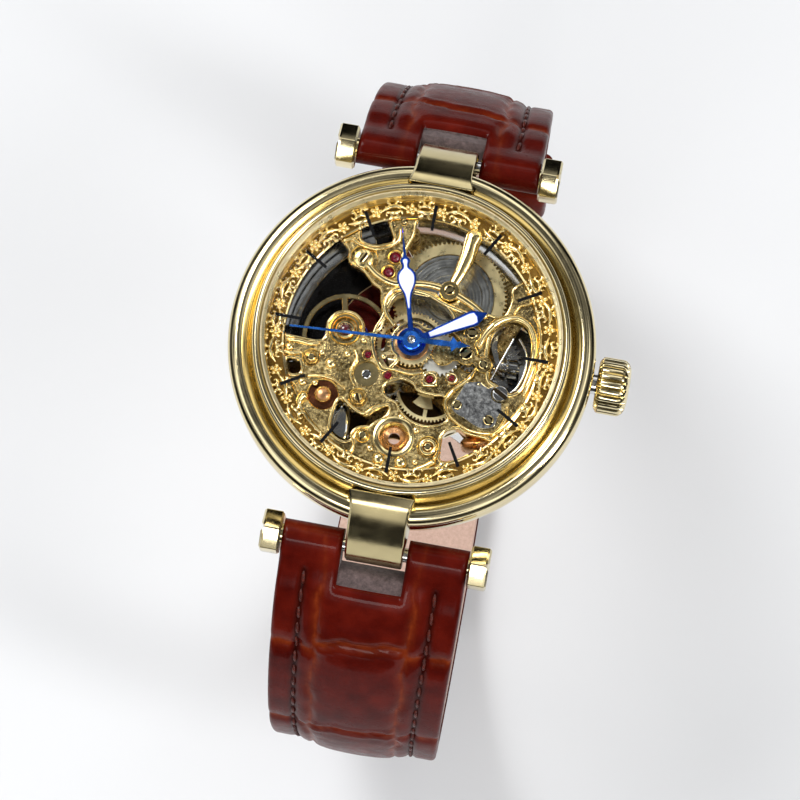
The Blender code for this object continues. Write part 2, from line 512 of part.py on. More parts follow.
openings = [
    # over the balance and out to the case ring between 9 and 10:30
    rim(135, 185) + [(-9.2, -1.2), (-9.05, 0.4)] + [polar(BALANCE, 2.1, radians(a)) for a in range(165, 5, -26)]
    + [(-4.9, 0.3), (-3.7, 0.9), (-3.5, 2.3), (-4.0, 3.8), (-4.2, 4.9), (-5.0, 5.35), (-5.8, 6.1), (-6.7, 6.75),
       (-7.5, 6.95), (-8.1, 7.5), (-8.2, 8.4), (-8.7, 9.0)],
    # beside it at 11
    rim(112, 123, 3) + [(-7.0, 9.9), (-5.8, 9.6), (-4.7, 9.9), (-3.9, 10.4), (-4.3, 11.4)],
    # over the barrel and out to the case ring between 12 and 2
    rim(40, 96, 10) + [(-1.75, 12.6), (-1.75, 11.3), (-2.1, 10.2), (-2.5, 8.8), (-2.35, 7.6), (-1.9, 6.3),
                       (-1.0, 5.85), (0.5, 5.75), (1.5, 5.7)]
    + [polar(BARREL, 1.25, radians(a)) for a in range(215, 345, 25)]
    + [(4.3, 5.6), (5.4, 5.0), (6.8, 4.6), (8.4, 4.4), (9.0, 5.0), (9.25, 6.2), (9.1, 7.4), (9.7, 8.2)],
    # round the centre wheel
    [polar(CENTRE, 3.8, radians(a)) for a in range(150, 240, 14)]
    + [polar(CENTRE, 2.3, radians(a)) for a in range(235, 35, -20)]
    + [(3.4, 2.3), (3.7, 3.4), (2.8, 4.3), (1.6, 4.9), (0.0, 5.05), (-1.6, 5.0), (-2.5, 4.5), (-2.9, 3.6)],
    # over the clutch and stem
    [(8.0, 0.6), (8.1, 2.4), (8.9, 3.6), (10.2, 4.1), (11.4, 3.6), (12.1, 2.1), (12.2, 0.0), (11.75, -2.4),
     (11.0, -3.3), (10.3, -3.1), (9.2, -2.6), (8.6, -2.2), (8.3, -0.6)],
    # over the third wheel, at 7, at 5 and at 8
    [(-1.5, -4.5), (-0.3, -3.95), (0.9, -4.3), (1.3, -5.2), (2.0, -5.8), (3.3, -5.7), (4.2, -5.0), (4.6, -5.9),
     (4.9, -7.2), (4.0, -7.9), (2.6, -8.15), (1.2, -7.8), (0.2, -7.0), (-0.4, -6.3), (-1.5, -5.9), (-1.9, -5.2)],
    [(-6.3, -7.3), (-5.6, -7.4), (-4.7, -8.0), (-3.1, -8.35), (-2.3, -7.6), (-1.2, -7.0), (-1.4, -7.9),
     (-2.4, -8.8), (-3.0, -9.5), (-3.9, -9.9), (-4.4, -10.9), (-5.2, -11.2), (-6.4, -10.5), (-6.6, -9.3)],
    [(4.8, -9.4), (5.2, -8.5), (6.3, -8.05), (7.2, -8.4), (9.3, -8.6), (9.5, -9.1), (8.0, -10.3), (6.5, -11.2),
     (5.2, -11.5), (5.0, -10.6)],
    [(-12.3, -3.9), (-11.1, -3.9), (-10.8, -5.0), (-11.9, -5.2)],
    circle((0.0, -10.0), 1.5, 16),
]
pockets = [circle(CENTRE, 2.75, 24), circle(MINUTE, 2.5, 20), circle(SETTING, 1.15, 12)]
bores = [circle(c, pivot_hole, 6) for c in (THIRD, ESCAPE, PALLET, BALANCE)]
bores.append(circle(CENTRE, 0.47, 10))
studs = [circle(MINUTE, 0.22, 8), circle(SETTING, 0.3, 8)]
node("main_plate", prisms([
    (PLATE_Z0, RECESS_Z, [circle(CENTRE, PLATE_R, 64)], [ccw(p) for p in openings] + bores),
    (RECESS_Z, PLATE_Z1, [circle(CENTRE, PLATE_R, 64)], [ccw(p) for p in openings] + pockets + bores),
    (RECESS_Z, 7.95, studs),
    (5.85, PLATE_Z0, [circle(LEVER_PIN, 0.25, 8), circle(YOKE_PIN, 0.25, 8)])]), "gold")
# open-worked arm that lies on the plate and carries the dial end of the barrel arbor
ARM = [circle(BARREL, 1.1, 14), bar(BARREL, (4.1, 12.5), 1.5, 1.2), bar(BARREL, (6.9, 4.0), 1.0),
       bar(BARREL, (-1.2, 6.1), 0.9), bar((-1.2, 6.1), (-4.2, 6.0), 0.8), bar((-4.2, 6.0), (-6.5, 7.8), 0.8),
       circle((-1.2, 6.1), 0.42, 8), circle((-4.2, 6.0), 0.4, 8), circle((-6.5, 7.8), 1.0, 12)]
node("barrel_arm", prisms([
    (7.2, 8.0, [circle(BARREL, 1.1, 14)], [circle(BARREL, 0.46, 12)]), (8.0, 8.63, [circle(BARREL, 1.1, 14)]),
    (8.63, 9.0, ARM)]), "gold")

# ---- work under the hands -------------------------------------------------------------
node("cannon_pinion", prisms([
    (7.65, 8.1, [gear(CENTRE, Z_CANNON, M_MOTION, 0)], [circle(CENTRE, 0.47, 10)]),
    (8.1, 9.95, [circle(CENTRE, 0.62, 10)], [circle(CENTRE, 0.47, 10)])]), "steel", pivot=(0, 0, 8))
node("minute_wheel", prisms([
    (7.72, 7.95, [gear(MINUTE, Z_MINUTE, M_MOTION, ph_minute)], [circle(MINUTE, 0.28, 8)]),
    (7.95, 8.5, [gear(MINUTE, Z_MINUTE_P, M_MOTION, 0)])]), "steel", pivot=(*MINUTE, 8))
node("hour_wheel", prisms([
    (8.24, 8.42, [gear(CENTRE, Z_HOUR, M_MOTION, ph_hour)], [circle(CENTRE, 0.67, 10)]),
    (8.42, 9.5, [circle(CENTRE, 1.0, 12)], [circle(CENTRE, 0.67, 10)])]), "steel", pivot=(0, 0, 8.4))
node("setting_wheel", prisms([
    (7.72, 7.93, [gear(SETTING, Z_SETTING, M_MOTION, ph_set)], [circle(SETTING, 0.36, 8)])]), "steel",
     pivot=(*SETTING, 7.8))
COVER = [(3.4, -0.6), (5.7, -0.1), (6.0, 2.1), (7.7, -0.95)]
node("minute_train_cover", prisms([
    (8.63, 8.8, [circle(COVER[0], 1.05, 14), circle(COVER[1], 1.15, 14), circle(COVER[2], 0.9, 12),
                 circle(COVER[3], 0.85, 12), bar(COVER[0], COVER[1], 1.7), bar(COVER[1], COVER[2], 1.3),
                 bar(COVER[1], COVER[3], 1.3)])]), "gold")
node("keyless_cover", prisms([
    (8.63, 8.85, [[(5.3, -6.0), (5.9, -3.8), (7.2, -3.3), (9.0, -3.25), (10.6, -4.5), (10.4, -6.0), (9.9, -7.2),
                   (8.8, -7.6), (7.0, -7.2)]])]), "steel")
lever_tip = (11.57, 0.0)
node("setting_lever", prisms([
    (6.1, 6.35, [circle(LEVER_PIN, 0.8, 12), bar(LEVER_PIN, lever_tip, 0.9, 0.55), circle(lever_tip, 0.33, 8)],
     [circle(LEVER_PIN, 0.3, 8)]),
    (4.97, 6.1, [circle(lever_tip, 0.17, 6)])]), "steel", pivot=(*LEVER_PIN, 6.2))
yoke_tip = (9.02, 0.0)
node("yoke", prisms([
    (5.85, 6.07, [circle(YOKE_PIN, 0.75, 12), bar(YOKE_PIN, yoke_tip, 0.8, 0.45), circle(yoke_tip, 0.25, 8)],
     [circle(YOKE_PIN, 0.3, 8)]),
    (5.35, 5.85, [circle(yoke_tip, 0.14, 6)])]), "steel", pivot=(*YOKE_PIN, 5.9))


# ---- hands ----------------------------------------------------------------------------
def hand(points, clock_deg):
    """Half outline (radius, half width) mirrored about a hand that points to clock_deg."""
    a = radians(90 - clock_deg)
    full = points + [(r, -w) for r, w in reversed(points) if w > 0]
    return [(r * cos(a) - w * sin(a), r * sin(a) + w * cos(a)) for r, w in full]


HOUR_AT, MINUTE_AT, SECOND_AT = 58.75, 345.0, 266.5
hour = hand([(0.7, 0.35), (1.9, 0.42), (6.9, 0.86), (8.4, 0)], HOUR_AT)
node("hour_hand", prisms([
    (9.3, 9.5, [circle(CENTRE, 1.55, 18), hour], [circle(CENTRE, 1.03, 12)]),
    (8.75, 9.3, [circle(CENTRE, 1.3, 16)], [circle(CENTRE, 1.03, 12)])]), "blue", pivot=(0, 0, 9.4))
minute = hand([(0.6, 0.3), (3.4, 0.24), (5.0, 0.45), (6.1, 0.95), (6.9, 1.0), (7.6, 0.62), (7.9, 0.33),
               (8.4, 0.5), (8.9, 0.2), (12.1, 0)], MINUTE_AT)
node("minute_hand", prisms([
    (9.72, 9.92, [circle(CENTRE, 1.15, 16), minute], [circle(CENTRE, 0.65, 12)])]), "blue", pivot=(0, 0, 9.8))
second = hand([(-6.1, 0), (-4.9, 0.32), (-4.7, 0.28), (-4.2, 0.75), (-4.0, 0.3), (-3.0, 0.4), (-0.8, 0.2),
               (0.8, 0.14), (12.6, 0.07)], SECOND_AT)
node("second_hand", prisms([
    (10.3, 10.44, [circle(CENTRE, 0.95, 16), second], [circle(CENTRE, 0.2, 8)])]), "blue",
     pivot=(0, 0, 10.4))


# ---- strap ----------------------------------------------------------------------------
def loop_path(half_width):
    """Points (y, z) down one side of the strap loop, drawn at +y, with their arc lengths."""
    th0 = math.asin(BAR_Y / half_width)
    zc = BAR_Z - LOOP_B * cos(th0)
    pts = [(half_width * sin(th0 + (pi - th0) * i / 600),
            max(zc + LOOP_B * cos(th0 + (pi - th0) * i / 600), LOOP_BOTTOM)) for i in range(601)]
    length = [0.0]
    for p, q in zip(pts, pts[1:]):
        length.append(length[-1] + dist(p, q))
    return pts, length


PATHS = {1: loop_path(LOOP_A12), -1: loop_path(LOOP_A6)}
LOOP_LEN = PATHS[1][1][-1] + PATHS[-1][1][-1]
STRAP_6_LEN = LOOP_LEN - STRAP_12_LEN - 17.0


def along(s, side=1):
    """Point, direction and outward normal of the loop at arc length s from one side's T-bar;
    past the middle it comes back up the other side."""
    path, length = PATHS[side]
    if s > length[-1]:
        (y, z), (ty, tz), (ny, nz) = along(LOOP_LEN - s, -side)
        return (-y, z), (ty, -tz), (-ny, nz)
    k = next((i for i in range(len(length) - 1) if length[i + 1] >= s), len(length) - 2)
    (y0, z0), (y1, z1) = path[k], path[k + 1]
    d = length[k + 1] - length[k]
    u = (s - length[k]) / d
    ty, tz = (y1 - y0) / d, (z1 - z0) / d
    return (y0 + (y1 - y0) * u, z0 + (z1 - z0) * u), (ty, tz), (-tz, ty)


def strap(side, stations, width, thick, slots):
    """A strap half as a grid of cells across (x) and along (s); slots are left open."""
    xs_n = 6
    verts, index, faces = [], {}, []

    def grid(i, j, up_side):
        if (i, j, up_side) not in index:
            s = stations[i]
            w = width(s)
            x = [-w / 2, -3.4, -1.3, 1.3, 3.4, w / 2][j]
            (y, z), _, (ny, nz) = along(s, side)
            t = thick(s) / 2 * (0.86 if j in (0, 5) else 1.0)
            h = t if up_side else -thick(s) / 2
            index[(i, j, up_side)] = len(verts)
            verts.append((x, side * (y + ny * h), z + nz * h))
        return index[(i, j, up_side)]

    cells = {(i, j) for i in range(len(stations) - 1) for j in range(xs_n - 1)
             if not any(a <= stations[i] and stations[i + 1] <= b and j in cols for a, b, cols in slots)}
    for i, j in cells:
        faces.append([grid(i, j, 1), grid(i, j + 1, 1), grid(i + 1, j + 1, 1), grid(i + 1, j, 1)])
        faces.append([grid(i, j, 0), grid(i + 1, j, 0), grid(i + 1, j + 1, 0), grid(i, j + 1, 0)])
        for di, dj, a, b in ((-1, 0, (i, j), (i, j + 1)), (1, 0, (i + 1, j), (i + 1, j + 1)),
                             (0, -1, (i, j), (i + 1, j)), (0, 1, (i, j + 1), (i + 1, j + 1))):
            if (i + di, j + dj) not in cells:
                faces.append([grid(*a, 1), grid(*b, 1), grid(*b, 0), grid(*a, 0)])
    return verts, faces


def ramp(s, points):
    for (s0, v0), (s1, v1) in zip(points, points[1:]):
        if s <= s1:
            return v0 + (v1 - v0) * (s - s0) / (s1 - s0)
    return points[-1][1]


BASE = [-1.55, 0.0, 1.7, 4.8]
bar_cut = moved(lathe([(0, -11), (0.82, -11), (0.82, 11), (0, 11)], 12, "x"),
                Matrix.Translation((0, BAR_Y, BAR_Z)))
st12 = BASE + [8, 13, 19, 25, 31, 37, 43, 49, 55, 60, 62.6, 65.2, 66.8]
half_12 = strap(1, st12, lambda s: ramp(s, [(-2, STRAP_W0), (8, STRAP_W0), (66, STRAP_W12), (80, STRAP_W12)]),
                lambda s: ramp(s, [(-1.55, 2.2), (0, 3.1), (4.8, 3.5), (20, 3.2), (55, 2.4), (80, 2.4)]),
                [(-2, 4.8, (1, 2, 3)), (62.6, 67, (2,))])
(by, bz), (bty, btz), (bny, bnz) = along(65.2)
buckle_at = (0, by, bz)
pin_cut = moved(lathe([(0, -11), (0.68, -11), (0.68, 11), (0, 11)], 10, "x"), Matrix.Translation(buckle_at))
P12, P6 = (0, BAR_Y, BAR_Z), (0, -BAR_Y, BAR_Z)
node("strap_12", boolean(half_12, [bar_cut, pin_cut]), "leather", pivot=P12)
L6 = STRAP_6_LEN
st6 = BASE + [8 + (L6 - 14) * i / 14 for i in range(15)] + [L6 - 3, L6 - 1, L6]
half_6 = strap(-1, st6, lambda s: ramp(s, [(-2, STRAP_W0), (8, STRAP_W0), (L6 - 6, STRAP_W6), (L6 - 3, 14.5),
                                          (L6 - 1, 10.5), (L6, 7.6)]),
               lambda s: ramp(s, [(-1.55, 2.2), (0, 3.1), (4.8, 3.5), (20, 3.2), (60, 2.4), (L6, 2.2)]),
               [(-2, 4.8, (1, 2, 3))])
cuts = [moved(lathe([(0, -11), (0.82, -11), (0.82, 11), (0, 11)], 12, "x"), Matrix.Translation(P6))]
for k in range(5):             # adjustment holes for the tongue
    (hy, hz), _, (hny, hnz) = along(L6 - 22 - 6.5 * k, -1)
    turn = Matrix.Rotation(-atan2(-hny, hnz), 4, "X")
    punch = lathe([(0, -3), (0.85, -3), (0.85, 3), (0, 3)], 8)
    cuts.append(moved(punch, Matrix.Translation((0, -hy, hz)) @ turn))
node("strap_6", boolean(half_6, cuts), "leather", pivot=P6)


def keeper(name, s, spare):
    """A leather loop round the buckle half, with room for the tail."""
    (y, z), (ty, tz), (ny, nz) = along(s)
    w, t, wall, wide = STRAP_W12 / 2 + 0.5, 1.75, 0.8, 4.2
    turn = Matrix(((1, 0, 0, 0), (0, ny, -ty, y), (0, nz, -tz, z), (0, 0, 0, 1)))
    out = [(-w - wall, -t - wall), (w + wall, -t - wall), (w + wall, t + spare), (w, t + spare + wall),
           (-w, t + spare + wall), (-w - wall, t + spare)]
    inn = [(-w, -t), (w, -t), (w, t + spare), (-w, t + spare)]
    shape = moved(prisms([(-wide / 2, wide / 2, [out], [inn])]), turn)
    return node(name, shape, "leather", pivot=(0, y, z))


keeper("keeper_fixed", 57.5, 2.0)
keeper("keeper_loose", 47.5, 2.0)
# pin buckle, drawn flat and turned to the end of the strap: u across, v along, w outward
turn = Matrix(((1, 0, 0, 0), (0, bty, bny, by), (0, btz, bnz, bz), (0, 0, 0, 1)))
hw = STRAP_W12 / 2
frame_out = [(-hw - 1.9, -1.2), (-hw - 1.9, 9.6), (-hw - 0.9, 11.2), (hw + 0.9, 11.2), (hw + 1.9, 9.6),
             (hw + 1.9, -1.2)]
frame_in = [(-hw - 0.5, -1.6), (hw + 0.5, -1.6), (hw + 0.5, 9.2), (-hw - 0.5, 9.2)]
frame = boolean(prisms([(-0.9, 0.9, [frame_out], [frame_in])]),
                [lathe([(0, -12), (0.68, -12), (0.68, 12), (0, 12)], 10, "x")])
node("buckle_frame", moved(frame, turn), "gold", pivot=buckle_at)
node("buckle_spring_bar", moved(lathe([(0, -hw - 1.7), (0.6, -hw - 1.7), (0.6, hw + 1.7), (0, hw + 1.7)], 10, "x"),
                                Matrix.Translation(buckle_at)), "steel", pivot=buckle_at, smooth=True)
tongue_side = [(-1.25, -1.0), (1.0, -1.25), (1.6, 0.3), (8.6, 0.95), (11.8, 0.95), (11.8, 1.6), (8.4, 1.8),
               (1.2, 1.25), (-1.25, 1.0)]
tongue = boolean(prisms([(-1.0, 1.0, [tongue_side])], "x"),
                 [lathe([(0, -3), (0.68, -3), (0.68, 3), (0, 3)], 10, "x")])
node("buckle_tongue", moved(tongue, turn), "gold", pivot=buckle_at)
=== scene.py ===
import random
from math import sin, cos, pi, radians, hypot, atan2, asin

import bpy
import bmesh
import numpy as np
from mathutils import Matrix, Vector
from mathutils.geometry import delaunay_2d_cdt


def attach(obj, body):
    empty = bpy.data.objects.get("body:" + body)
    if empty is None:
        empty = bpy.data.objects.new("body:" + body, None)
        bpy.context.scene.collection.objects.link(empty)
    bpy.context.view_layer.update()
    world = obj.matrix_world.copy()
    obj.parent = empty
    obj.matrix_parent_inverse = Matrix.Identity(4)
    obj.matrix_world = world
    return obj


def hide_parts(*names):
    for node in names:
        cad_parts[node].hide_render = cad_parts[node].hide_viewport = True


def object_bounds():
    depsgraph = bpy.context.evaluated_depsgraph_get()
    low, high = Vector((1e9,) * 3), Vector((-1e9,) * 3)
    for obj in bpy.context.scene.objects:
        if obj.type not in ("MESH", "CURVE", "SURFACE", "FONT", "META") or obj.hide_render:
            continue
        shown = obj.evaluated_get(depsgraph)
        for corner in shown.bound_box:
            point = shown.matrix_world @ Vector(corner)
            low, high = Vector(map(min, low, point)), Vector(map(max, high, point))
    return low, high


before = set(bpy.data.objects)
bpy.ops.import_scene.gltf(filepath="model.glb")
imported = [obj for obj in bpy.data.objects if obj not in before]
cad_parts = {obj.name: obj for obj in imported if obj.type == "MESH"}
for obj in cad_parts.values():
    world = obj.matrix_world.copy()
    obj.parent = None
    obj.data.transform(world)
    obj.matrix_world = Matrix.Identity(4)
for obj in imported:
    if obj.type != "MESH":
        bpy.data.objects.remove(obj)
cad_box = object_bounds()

# Dimensions are in millimetres, in the row frame: +Z out of the dial, +Y to 12 o'clock, +X to the crown.
MM = 0.001
CENTRE, BARREL, THIRD, ESCAPE = (0.0, 0.0), (2.85, 6.05), (2.5, -3.4), (-1.8, -3.8)
PALLET, BALANCE, MINUTE, SETTING = (-4.2, -2.0), (-7.0, 0.2), (3.0, -0.5), (6.16, -0.82)
CROWN_WHEEL, CLICK, LEVER_PIN, YOKE_PIN = (8.4, 0.6), (-3.12, 7.55), (11.0, -3.9), (8.2, 3.6)
STEM_Z = 4.7
BAR_Y, BAR_Z = 20.97, 3.05


# ---- materials ------------------------------------------------------------------------
class Nodes:
    """A node tree that is put together from small parts."""

    def __init__(self, tree):
        self.tree = tree

    def node(self, kind, settings=(), **inputs):
        n = self.tree.nodes.new(kind)
        for key, value in dict(settings).items():
            setattr(n, key, value)
        for key, value in inputs.items():
            socket = n.inputs[key.replace("_", " ")]
            if isinstance(value, bpy.types.NodeSocket):
                self.tree.links.new(value, socket)
            else:
                socket.default_value = value
        return n

    def ramp(self, value, stops):
        """A colour ramp; a stop's colour may be one grey level."""
        n = self.node("ShaderNodeValToRGB", Fac=value)
        ramp = n.color_ramp
        while len(ramp.elements) < len(stops):
            ramp.elements.new(0.5)
        for element, (at, colour) in zip(ramp.elements, stops):
            element.position = at
            element.color = (*(colour if isinstance(colour, tuple) else (colour,) * 3), 1)
        return n.outputs["Color"]


class Look(Nodes):
    """A material over the Principled shader. Its own numbers are set on the shader's sockets."""

    def __init__(self, name, rough, metal=0.0, **inputs):
        self.mat = bpy.data.materials.new(name)
        self.mat.use_nodes = True
        super().__init__(self.mat.node_tree)
        self.bsdf = self.tree.nodes["Principled BSDF"]
        for key, value in dict(Roughness=rough, Metallic=metal, **inputs).items():
            self.bsdf.inputs[key.replace("_", " ")].default_value = value
        self.coords = self.node("ShaderNodeTexCoord").outputs["Object"]
        self.normal = None

    def stretched(self, stretch, turn=(0, 0, 0)):
        n = self.node("ShaderNodeMapping", Vector=self.coords, Scale=stretch)
        n.inputs["Rotation"].default_value = turn
        return n.outputs["Vector"]

    def noise(self, scale, detail, stretch=None, rough=0.55):
        where = self.stretched(stretch) if stretch else self.coords
        return self.node("ShaderNodeTexNoise", Vector=where, Scale=scale, Detail=detail,
            Roughness=rough).outputs["Fac"]

    def blend(self, factor, first, second):
        """The first colour where the factor is 0 or less, the second where it is 1."""
        mix = self.node("ShaderNodeMix", {"data_type": "RGBA", "clamp_factor": True})
        for key, value in (("Factor", factor), ("A", first), ("B", second)):
            socket = [s for s in mix.inputs if s.name == key and (s.type == "RGBA") == (key != "Factor")][0]
            self.tree.links.new(value, socket)
        return [s for s in mix.outputs if s.type == "RGBA"][0]

    def colour(self, socket):
        self.tree.links.new(socket, self.bsdf.inputs["Base Color"])
        return self

    def tones(self, noise, low, high, first=0.3, last=0.7):
        """A colour that drifts between two tones as a noise does."""
        return self.colour(self.ramp(noise, [(first, low), (last, high)]))

    def roughness(self, value, low, high):
        n = self.node("ShaderNodeMapRange", Value=value)
        n.inputs["From Min"].default_value, n.inputs["From Max"].default_value = 0.3, 0.7
        n.inputs["To Min"].default_value, n.inputs["To Max"].default_value = low, high
        self.tree.links.new(n.outputs["Result"], self.bsdf.inputs["Roughness"])
        return self

    def bump(self, height, strength, depth_mm):
        n = self.node("ShaderNodeBump", Height=height, Strength=strength, Distance=depth_mm * MM)
        if self.normal:
            self.tree.links.new(self.normal, n.inputs["Normal"])
        self.normal = n.outputs["Normal"]
        self.tree.links.new(self.normal, self.bsdf.inputs["Normal"])
        return self


def shade(c, k):
    return tuple(x * k for x in c)


def metal(name, colour, rough, grain, mottle, depth=0.004, scratch=True, hammered=0.0):
    """A worked metal: slight tarnish, smears in its polish, fine grain and hairline scratches. hammered is the
    depth in mm of the broad dents that hand finishing leaves."""
    look = Look(name, rough, 1.0)
    if hammered:
        look.bump(look.noise(260, 1), 1.0, hammered)
        look.bump(look.noise(1100, 2), 1.0, hammered * 0.06)
    cloud = look.noise(420, 5)
    look.tones(cloud, shade(colour, 1 - mottle), colour, 0.25, 0.75)
    look.roughness(look.noise(900, 6), rough * 0.7, rough * 1.4)
    look.bump(look.noise(9000, 3), grain, depth)
    if scratch:
        lines = look.noise(1500, 2, (1, 14, 3))
        look.bump(look.ramp(lines, [(0.47, 0), (0.5, 1), (0.53, 0)]), 0.12, 0.003)
    return look.mat


GOLD_C, BRASS_C = (0.84, 0.73, 0.46), (0.86, 0.68, 0.34)
STEEL_C, BLUE_C, COPPER_C = (0.72, 0.72, 0.71), (0.03, 0.13, 0.80), (0.72, 0.38, 0.18)
CASE = metal("case_polished_gold", (0.80, 0.685, 0.405), 0.11, 0.05, 0.05, 0.002)
CASE_WORN = metal("case_edge_gold", shade(GOLD_C, 0.94), 0.2, 0.2, 0.12)
PLATE_EDGE = metal("plate_bevel_gold", (1.0, 0.79, 0.38), 0.13, 0.1, 0.06, scratch=False, hammered=0.05)
SCROLL = metal("engraved_gold", (1.0, 0.80, 0.40), 0.13, 0.25, 0.12, 0.006, scratch=False)
# painted shade: a dark gold for the engraved ground between the scrolls of the dial ring
SCROLL_GROUND_SHADE = metal("engraved_ground_painted_shade", (0.24, 0.13, 0.028), 0.34, 0.9, 0.5, 0.03, scratch=False, hammered=0.2)
SEEN_THROUGH = metal("back_plate_bronze", (0.11, 0.058, 0.022), 0.3, 0.6, 0.3, 0.02, hammered=0.2)
BRASS = metal("wheel_brass", (0.93, 0.75, 0.40), 0.3, 0.3, 0.12, 0.005)
BRASS_EDGE = metal("wheel_brass_edge", shade(BRASS_C, 1.1), 0.14, 0.1, 0.08, scratch=False)
STEEL = metal("steel_polished", STEEL_C, 0.16, 0.1, 0.1)
STEEL_EDGE = metal("steel_bevel", (0.7, 0.7, 0.7), 0.1, 0.05, 0.06, scratch=False)
STEEL_DARK = metal("steel_dark", (0.2, 0.2, 0.21), 0.22, 0.1, 0.2)
BLUED = metal("blued_steel", BLUE_C, 0.2, 0.1, 0.18, scratch=False)
BLUED_EDGE = metal("blued_steel_bevel", shade(BLUE_C, 1.35), 0.14, 0.05, 0.08, scratch=False)
COPPER = metal("copper_recess", COPPER_C, 0.25, 0.3, 0.25)
# a darker copper, laid on the floor of the sink at (-8, -6.9)
COPPER_DARK = metal("dark_copper_sink_floor", (0.26, 0.09, 0.04), 0.2, 0.3, 0.4, 0.01, hammered=0.15)
# painted shade: a black steel sheet that stands for the dark interior seen through the window at 9
BLACK_SHADE_SHEET = metal("black_steel_painted_shade", (0.035, 0.033, 0.032), 0.13, 0.05, 0.2)
# painted shade: near-black metal for screw slots and the foot under each screw head
SLOT_SHADE = metal("slot_painted_shade", (0.04, 0.028, 0.016), 0.4, 0.2, 0.2)
DARK_RED = metal("dark_red_polish", (0.16, 0.02, 0.015), 0.2, 0.1, 0.3)


def frosted(name, dark, light, rough):
    """Grained metal: bright specks on a darker ground, under soft dents, with tarnished patches."""
    look = Look(name, rough, 1.0)
    look.bump(look.noise(260, 1), 1.0, 0.17)
    grains = look.noise(3300, 7, rough=0.7)
    clean = look.ramp(grains, [(0.4, dark), (0.52, shade(light, 0.7)), (0.62, light)])
    tarnished = look.ramp(grains, [(0.42, shade(dark, 0.8)), (0.54, shade(light, 0.45)), (0.64, light)])
    patches = look.ramp(look.noise(190, 2), [(0.44, 0), (0.54, 1)])
    look.colour(look.blend(patches, tarnished, clean))
    look.roughness(look.noise(900, 6), rough * 0.7, rough * 1.4)
    return look.bump(look.noise(4200, 4), 0.8, 0.03).mat


def grained_steel():
    """Grey plate with a coarse hammered and tarnished grain."""
    look = Look("steel_grained", 0.34, 1.0)
    look.colour(look.ramp(look.noise(2300, 9, rough=0.75), [(0.36, (0.07, 0.07, 0.072)), (0.5, (0.2, 0.2, 0.2)),
        (0.66, (0.5, 0.5, 0.49))]))
    look.bump(look.noise(260, 1), 1.0, 0.12)
    look.roughness(look.noise(2500, 6), 0.24, 0.5)
    return look.bump(look.noise(5000, 6), 0.6, 0.02).mat


def turned(name, colour, centre, rough, marks=0.22):
    """Metal with fine concentric turning marks about a point."""
    look = Look(name, rough, 1.0)
    shift = look.node("ShaderNodeVectorMath", {"operation": "SUBTRACT"}).inputs
    look.tree.links.new(look.coords, shift[0])
    shift[1].default_value = (centre[0] * MM, centre[1] * MM, 0)
    at = shift[0].node.outputs["Vector"]
    rings = look.node("ShaderNodeTexWave", {"wave_type": "RINGS", "rings_direction": "Z"}, Vector=at, Scale=900.0,
        Distortion=1.5, Detail=3.0)
    look.tones(look.noise(500, 4), shade(colour, 0.82), colour)
    look.roughness(look.noise(1200, 5), rough * 0.75, rough * 1.3)
    return look.bump(rings.outputs["Fac"], marks, 0.006).mat


PLATE = frosted("plate_frosted_gold", (0.20, 0.12, 0.03), (1.0, 0.75, 0.33), 0.24)
# the lugs' gold: a real satin roughness, and a colour darker than the case's, which is painted shade
CASE_SATIN_SHADED = metal("case_satin_gold_painted_shade", (0.56, 0.47, 0.25), 0.17, 0.02, 0.05, 0.002, scratch=False)
BLUE_BRIGHT = metal("blued_steel_bright", (0.05, 0.25, 0.98), 0.24, 0.1, 0.12, scratch=False)
STEEL_GRAIN = grained_steel()
BARREL_STEEL = turned("steel_turned_barrel", (0.52, 0.52, 0.50), BARREL, 0.2, 0.6)
# painted light: a paler brass that brightens the third wheel where it lies in shade under the plate
BRASS_PAINTED_LIGHT = metal("third_wheel_brass_painted_light", (1.0, 0.86, 0.50), 0.42, 0.3, 0.1, 0.005)
COPPER_TURNED = turned("copper_turned", COPPER_C, CENTRE, 0.28)


def ruby():
    look = Look("ruby", 0.06, 0.0, Coat_Weight=0.6, Coat_Roughness=0.03, Specular_IOR_Level=0.8)
    look.tones(look.noise(2500, 3), (0.05, 0.0, 0.004), (0.24, 0.004, 0.022))
    return look.bump(look.noise(3000, 2), 0.05, 0.003).mat


def lume():
    look = Look("white_lume", 0.45, 0.0)
    look.tones(look.noise(3000, 4), (0.82, 0.86, 0.88), (0.97, 0.98, 0.98))
    return look.bump(look.noise(14000, 4), 0.35, 0.01).mat


def enamel(name, colour, rough):
    look = Look(name, rough, 0.0, Specular_IOR_Level=0.06)
    look.tones(look.noise(1500, 4), shade(colour, 0.7), colour)
    look.roughness(look.noise(2500, 4), rough * 0.8, rough * 1.3)
    return look.bump(look.noise(9000, 4), 0.2, 0.006).mat


def clear(name, tint, gloss):
    """Thin glass: what is behind shows through, and the surface mirrors at a glancing angle."""
    look = Look(name, 0.02)
    see = look.node("ShaderNodeBsdfTransparent", Color=(*tint, 1)).outputs["BSDF"]
    mirror = look.node("ShaderNodeBsdfGlossy", Color=(1, 1, 1, 1), Roughness=0.02).outputs["BSDF"]
    edge = look.node("ShaderNodeFresnel", IOR=gloss).outputs["Fac"]
    mix = look.node("ShaderNodeMixShader", Fac=edge)
    look.tree.links.new(see, mix.inputs[1])
    look.tree.links.new(mirror, mix.inputs[2])
    look.tree.links.new(mix.outputs["Shader"], look.tree.nodes["Material Output"].inputs["Surface"])
    return look.mat


RUBY, LUME = ruby(), lume()
MARKER = enamel("black_marker", (0.008, 0.008, 0.009), 0.45)
RUBBER = enamel("black_rubber", (0.02, 0.02, 0.02), 0.6)
# painted reflection: a cream colour for the crystal seal, standing for the pale band mirrored at the dial's edge
SEAL_CREAM_REFLECTION = enamel("cream_seal_painted_reflection", (0.72, 0.60, 0.36), 0.5)
CRYSTAL = clear("sapphire_crystal", (0.985, 0.99, 0.99), 1.1)


def attribute(look, name):
    return look.node("ShaderNodeAttribute", {"attribute_name": name}).outputs["Fac"]


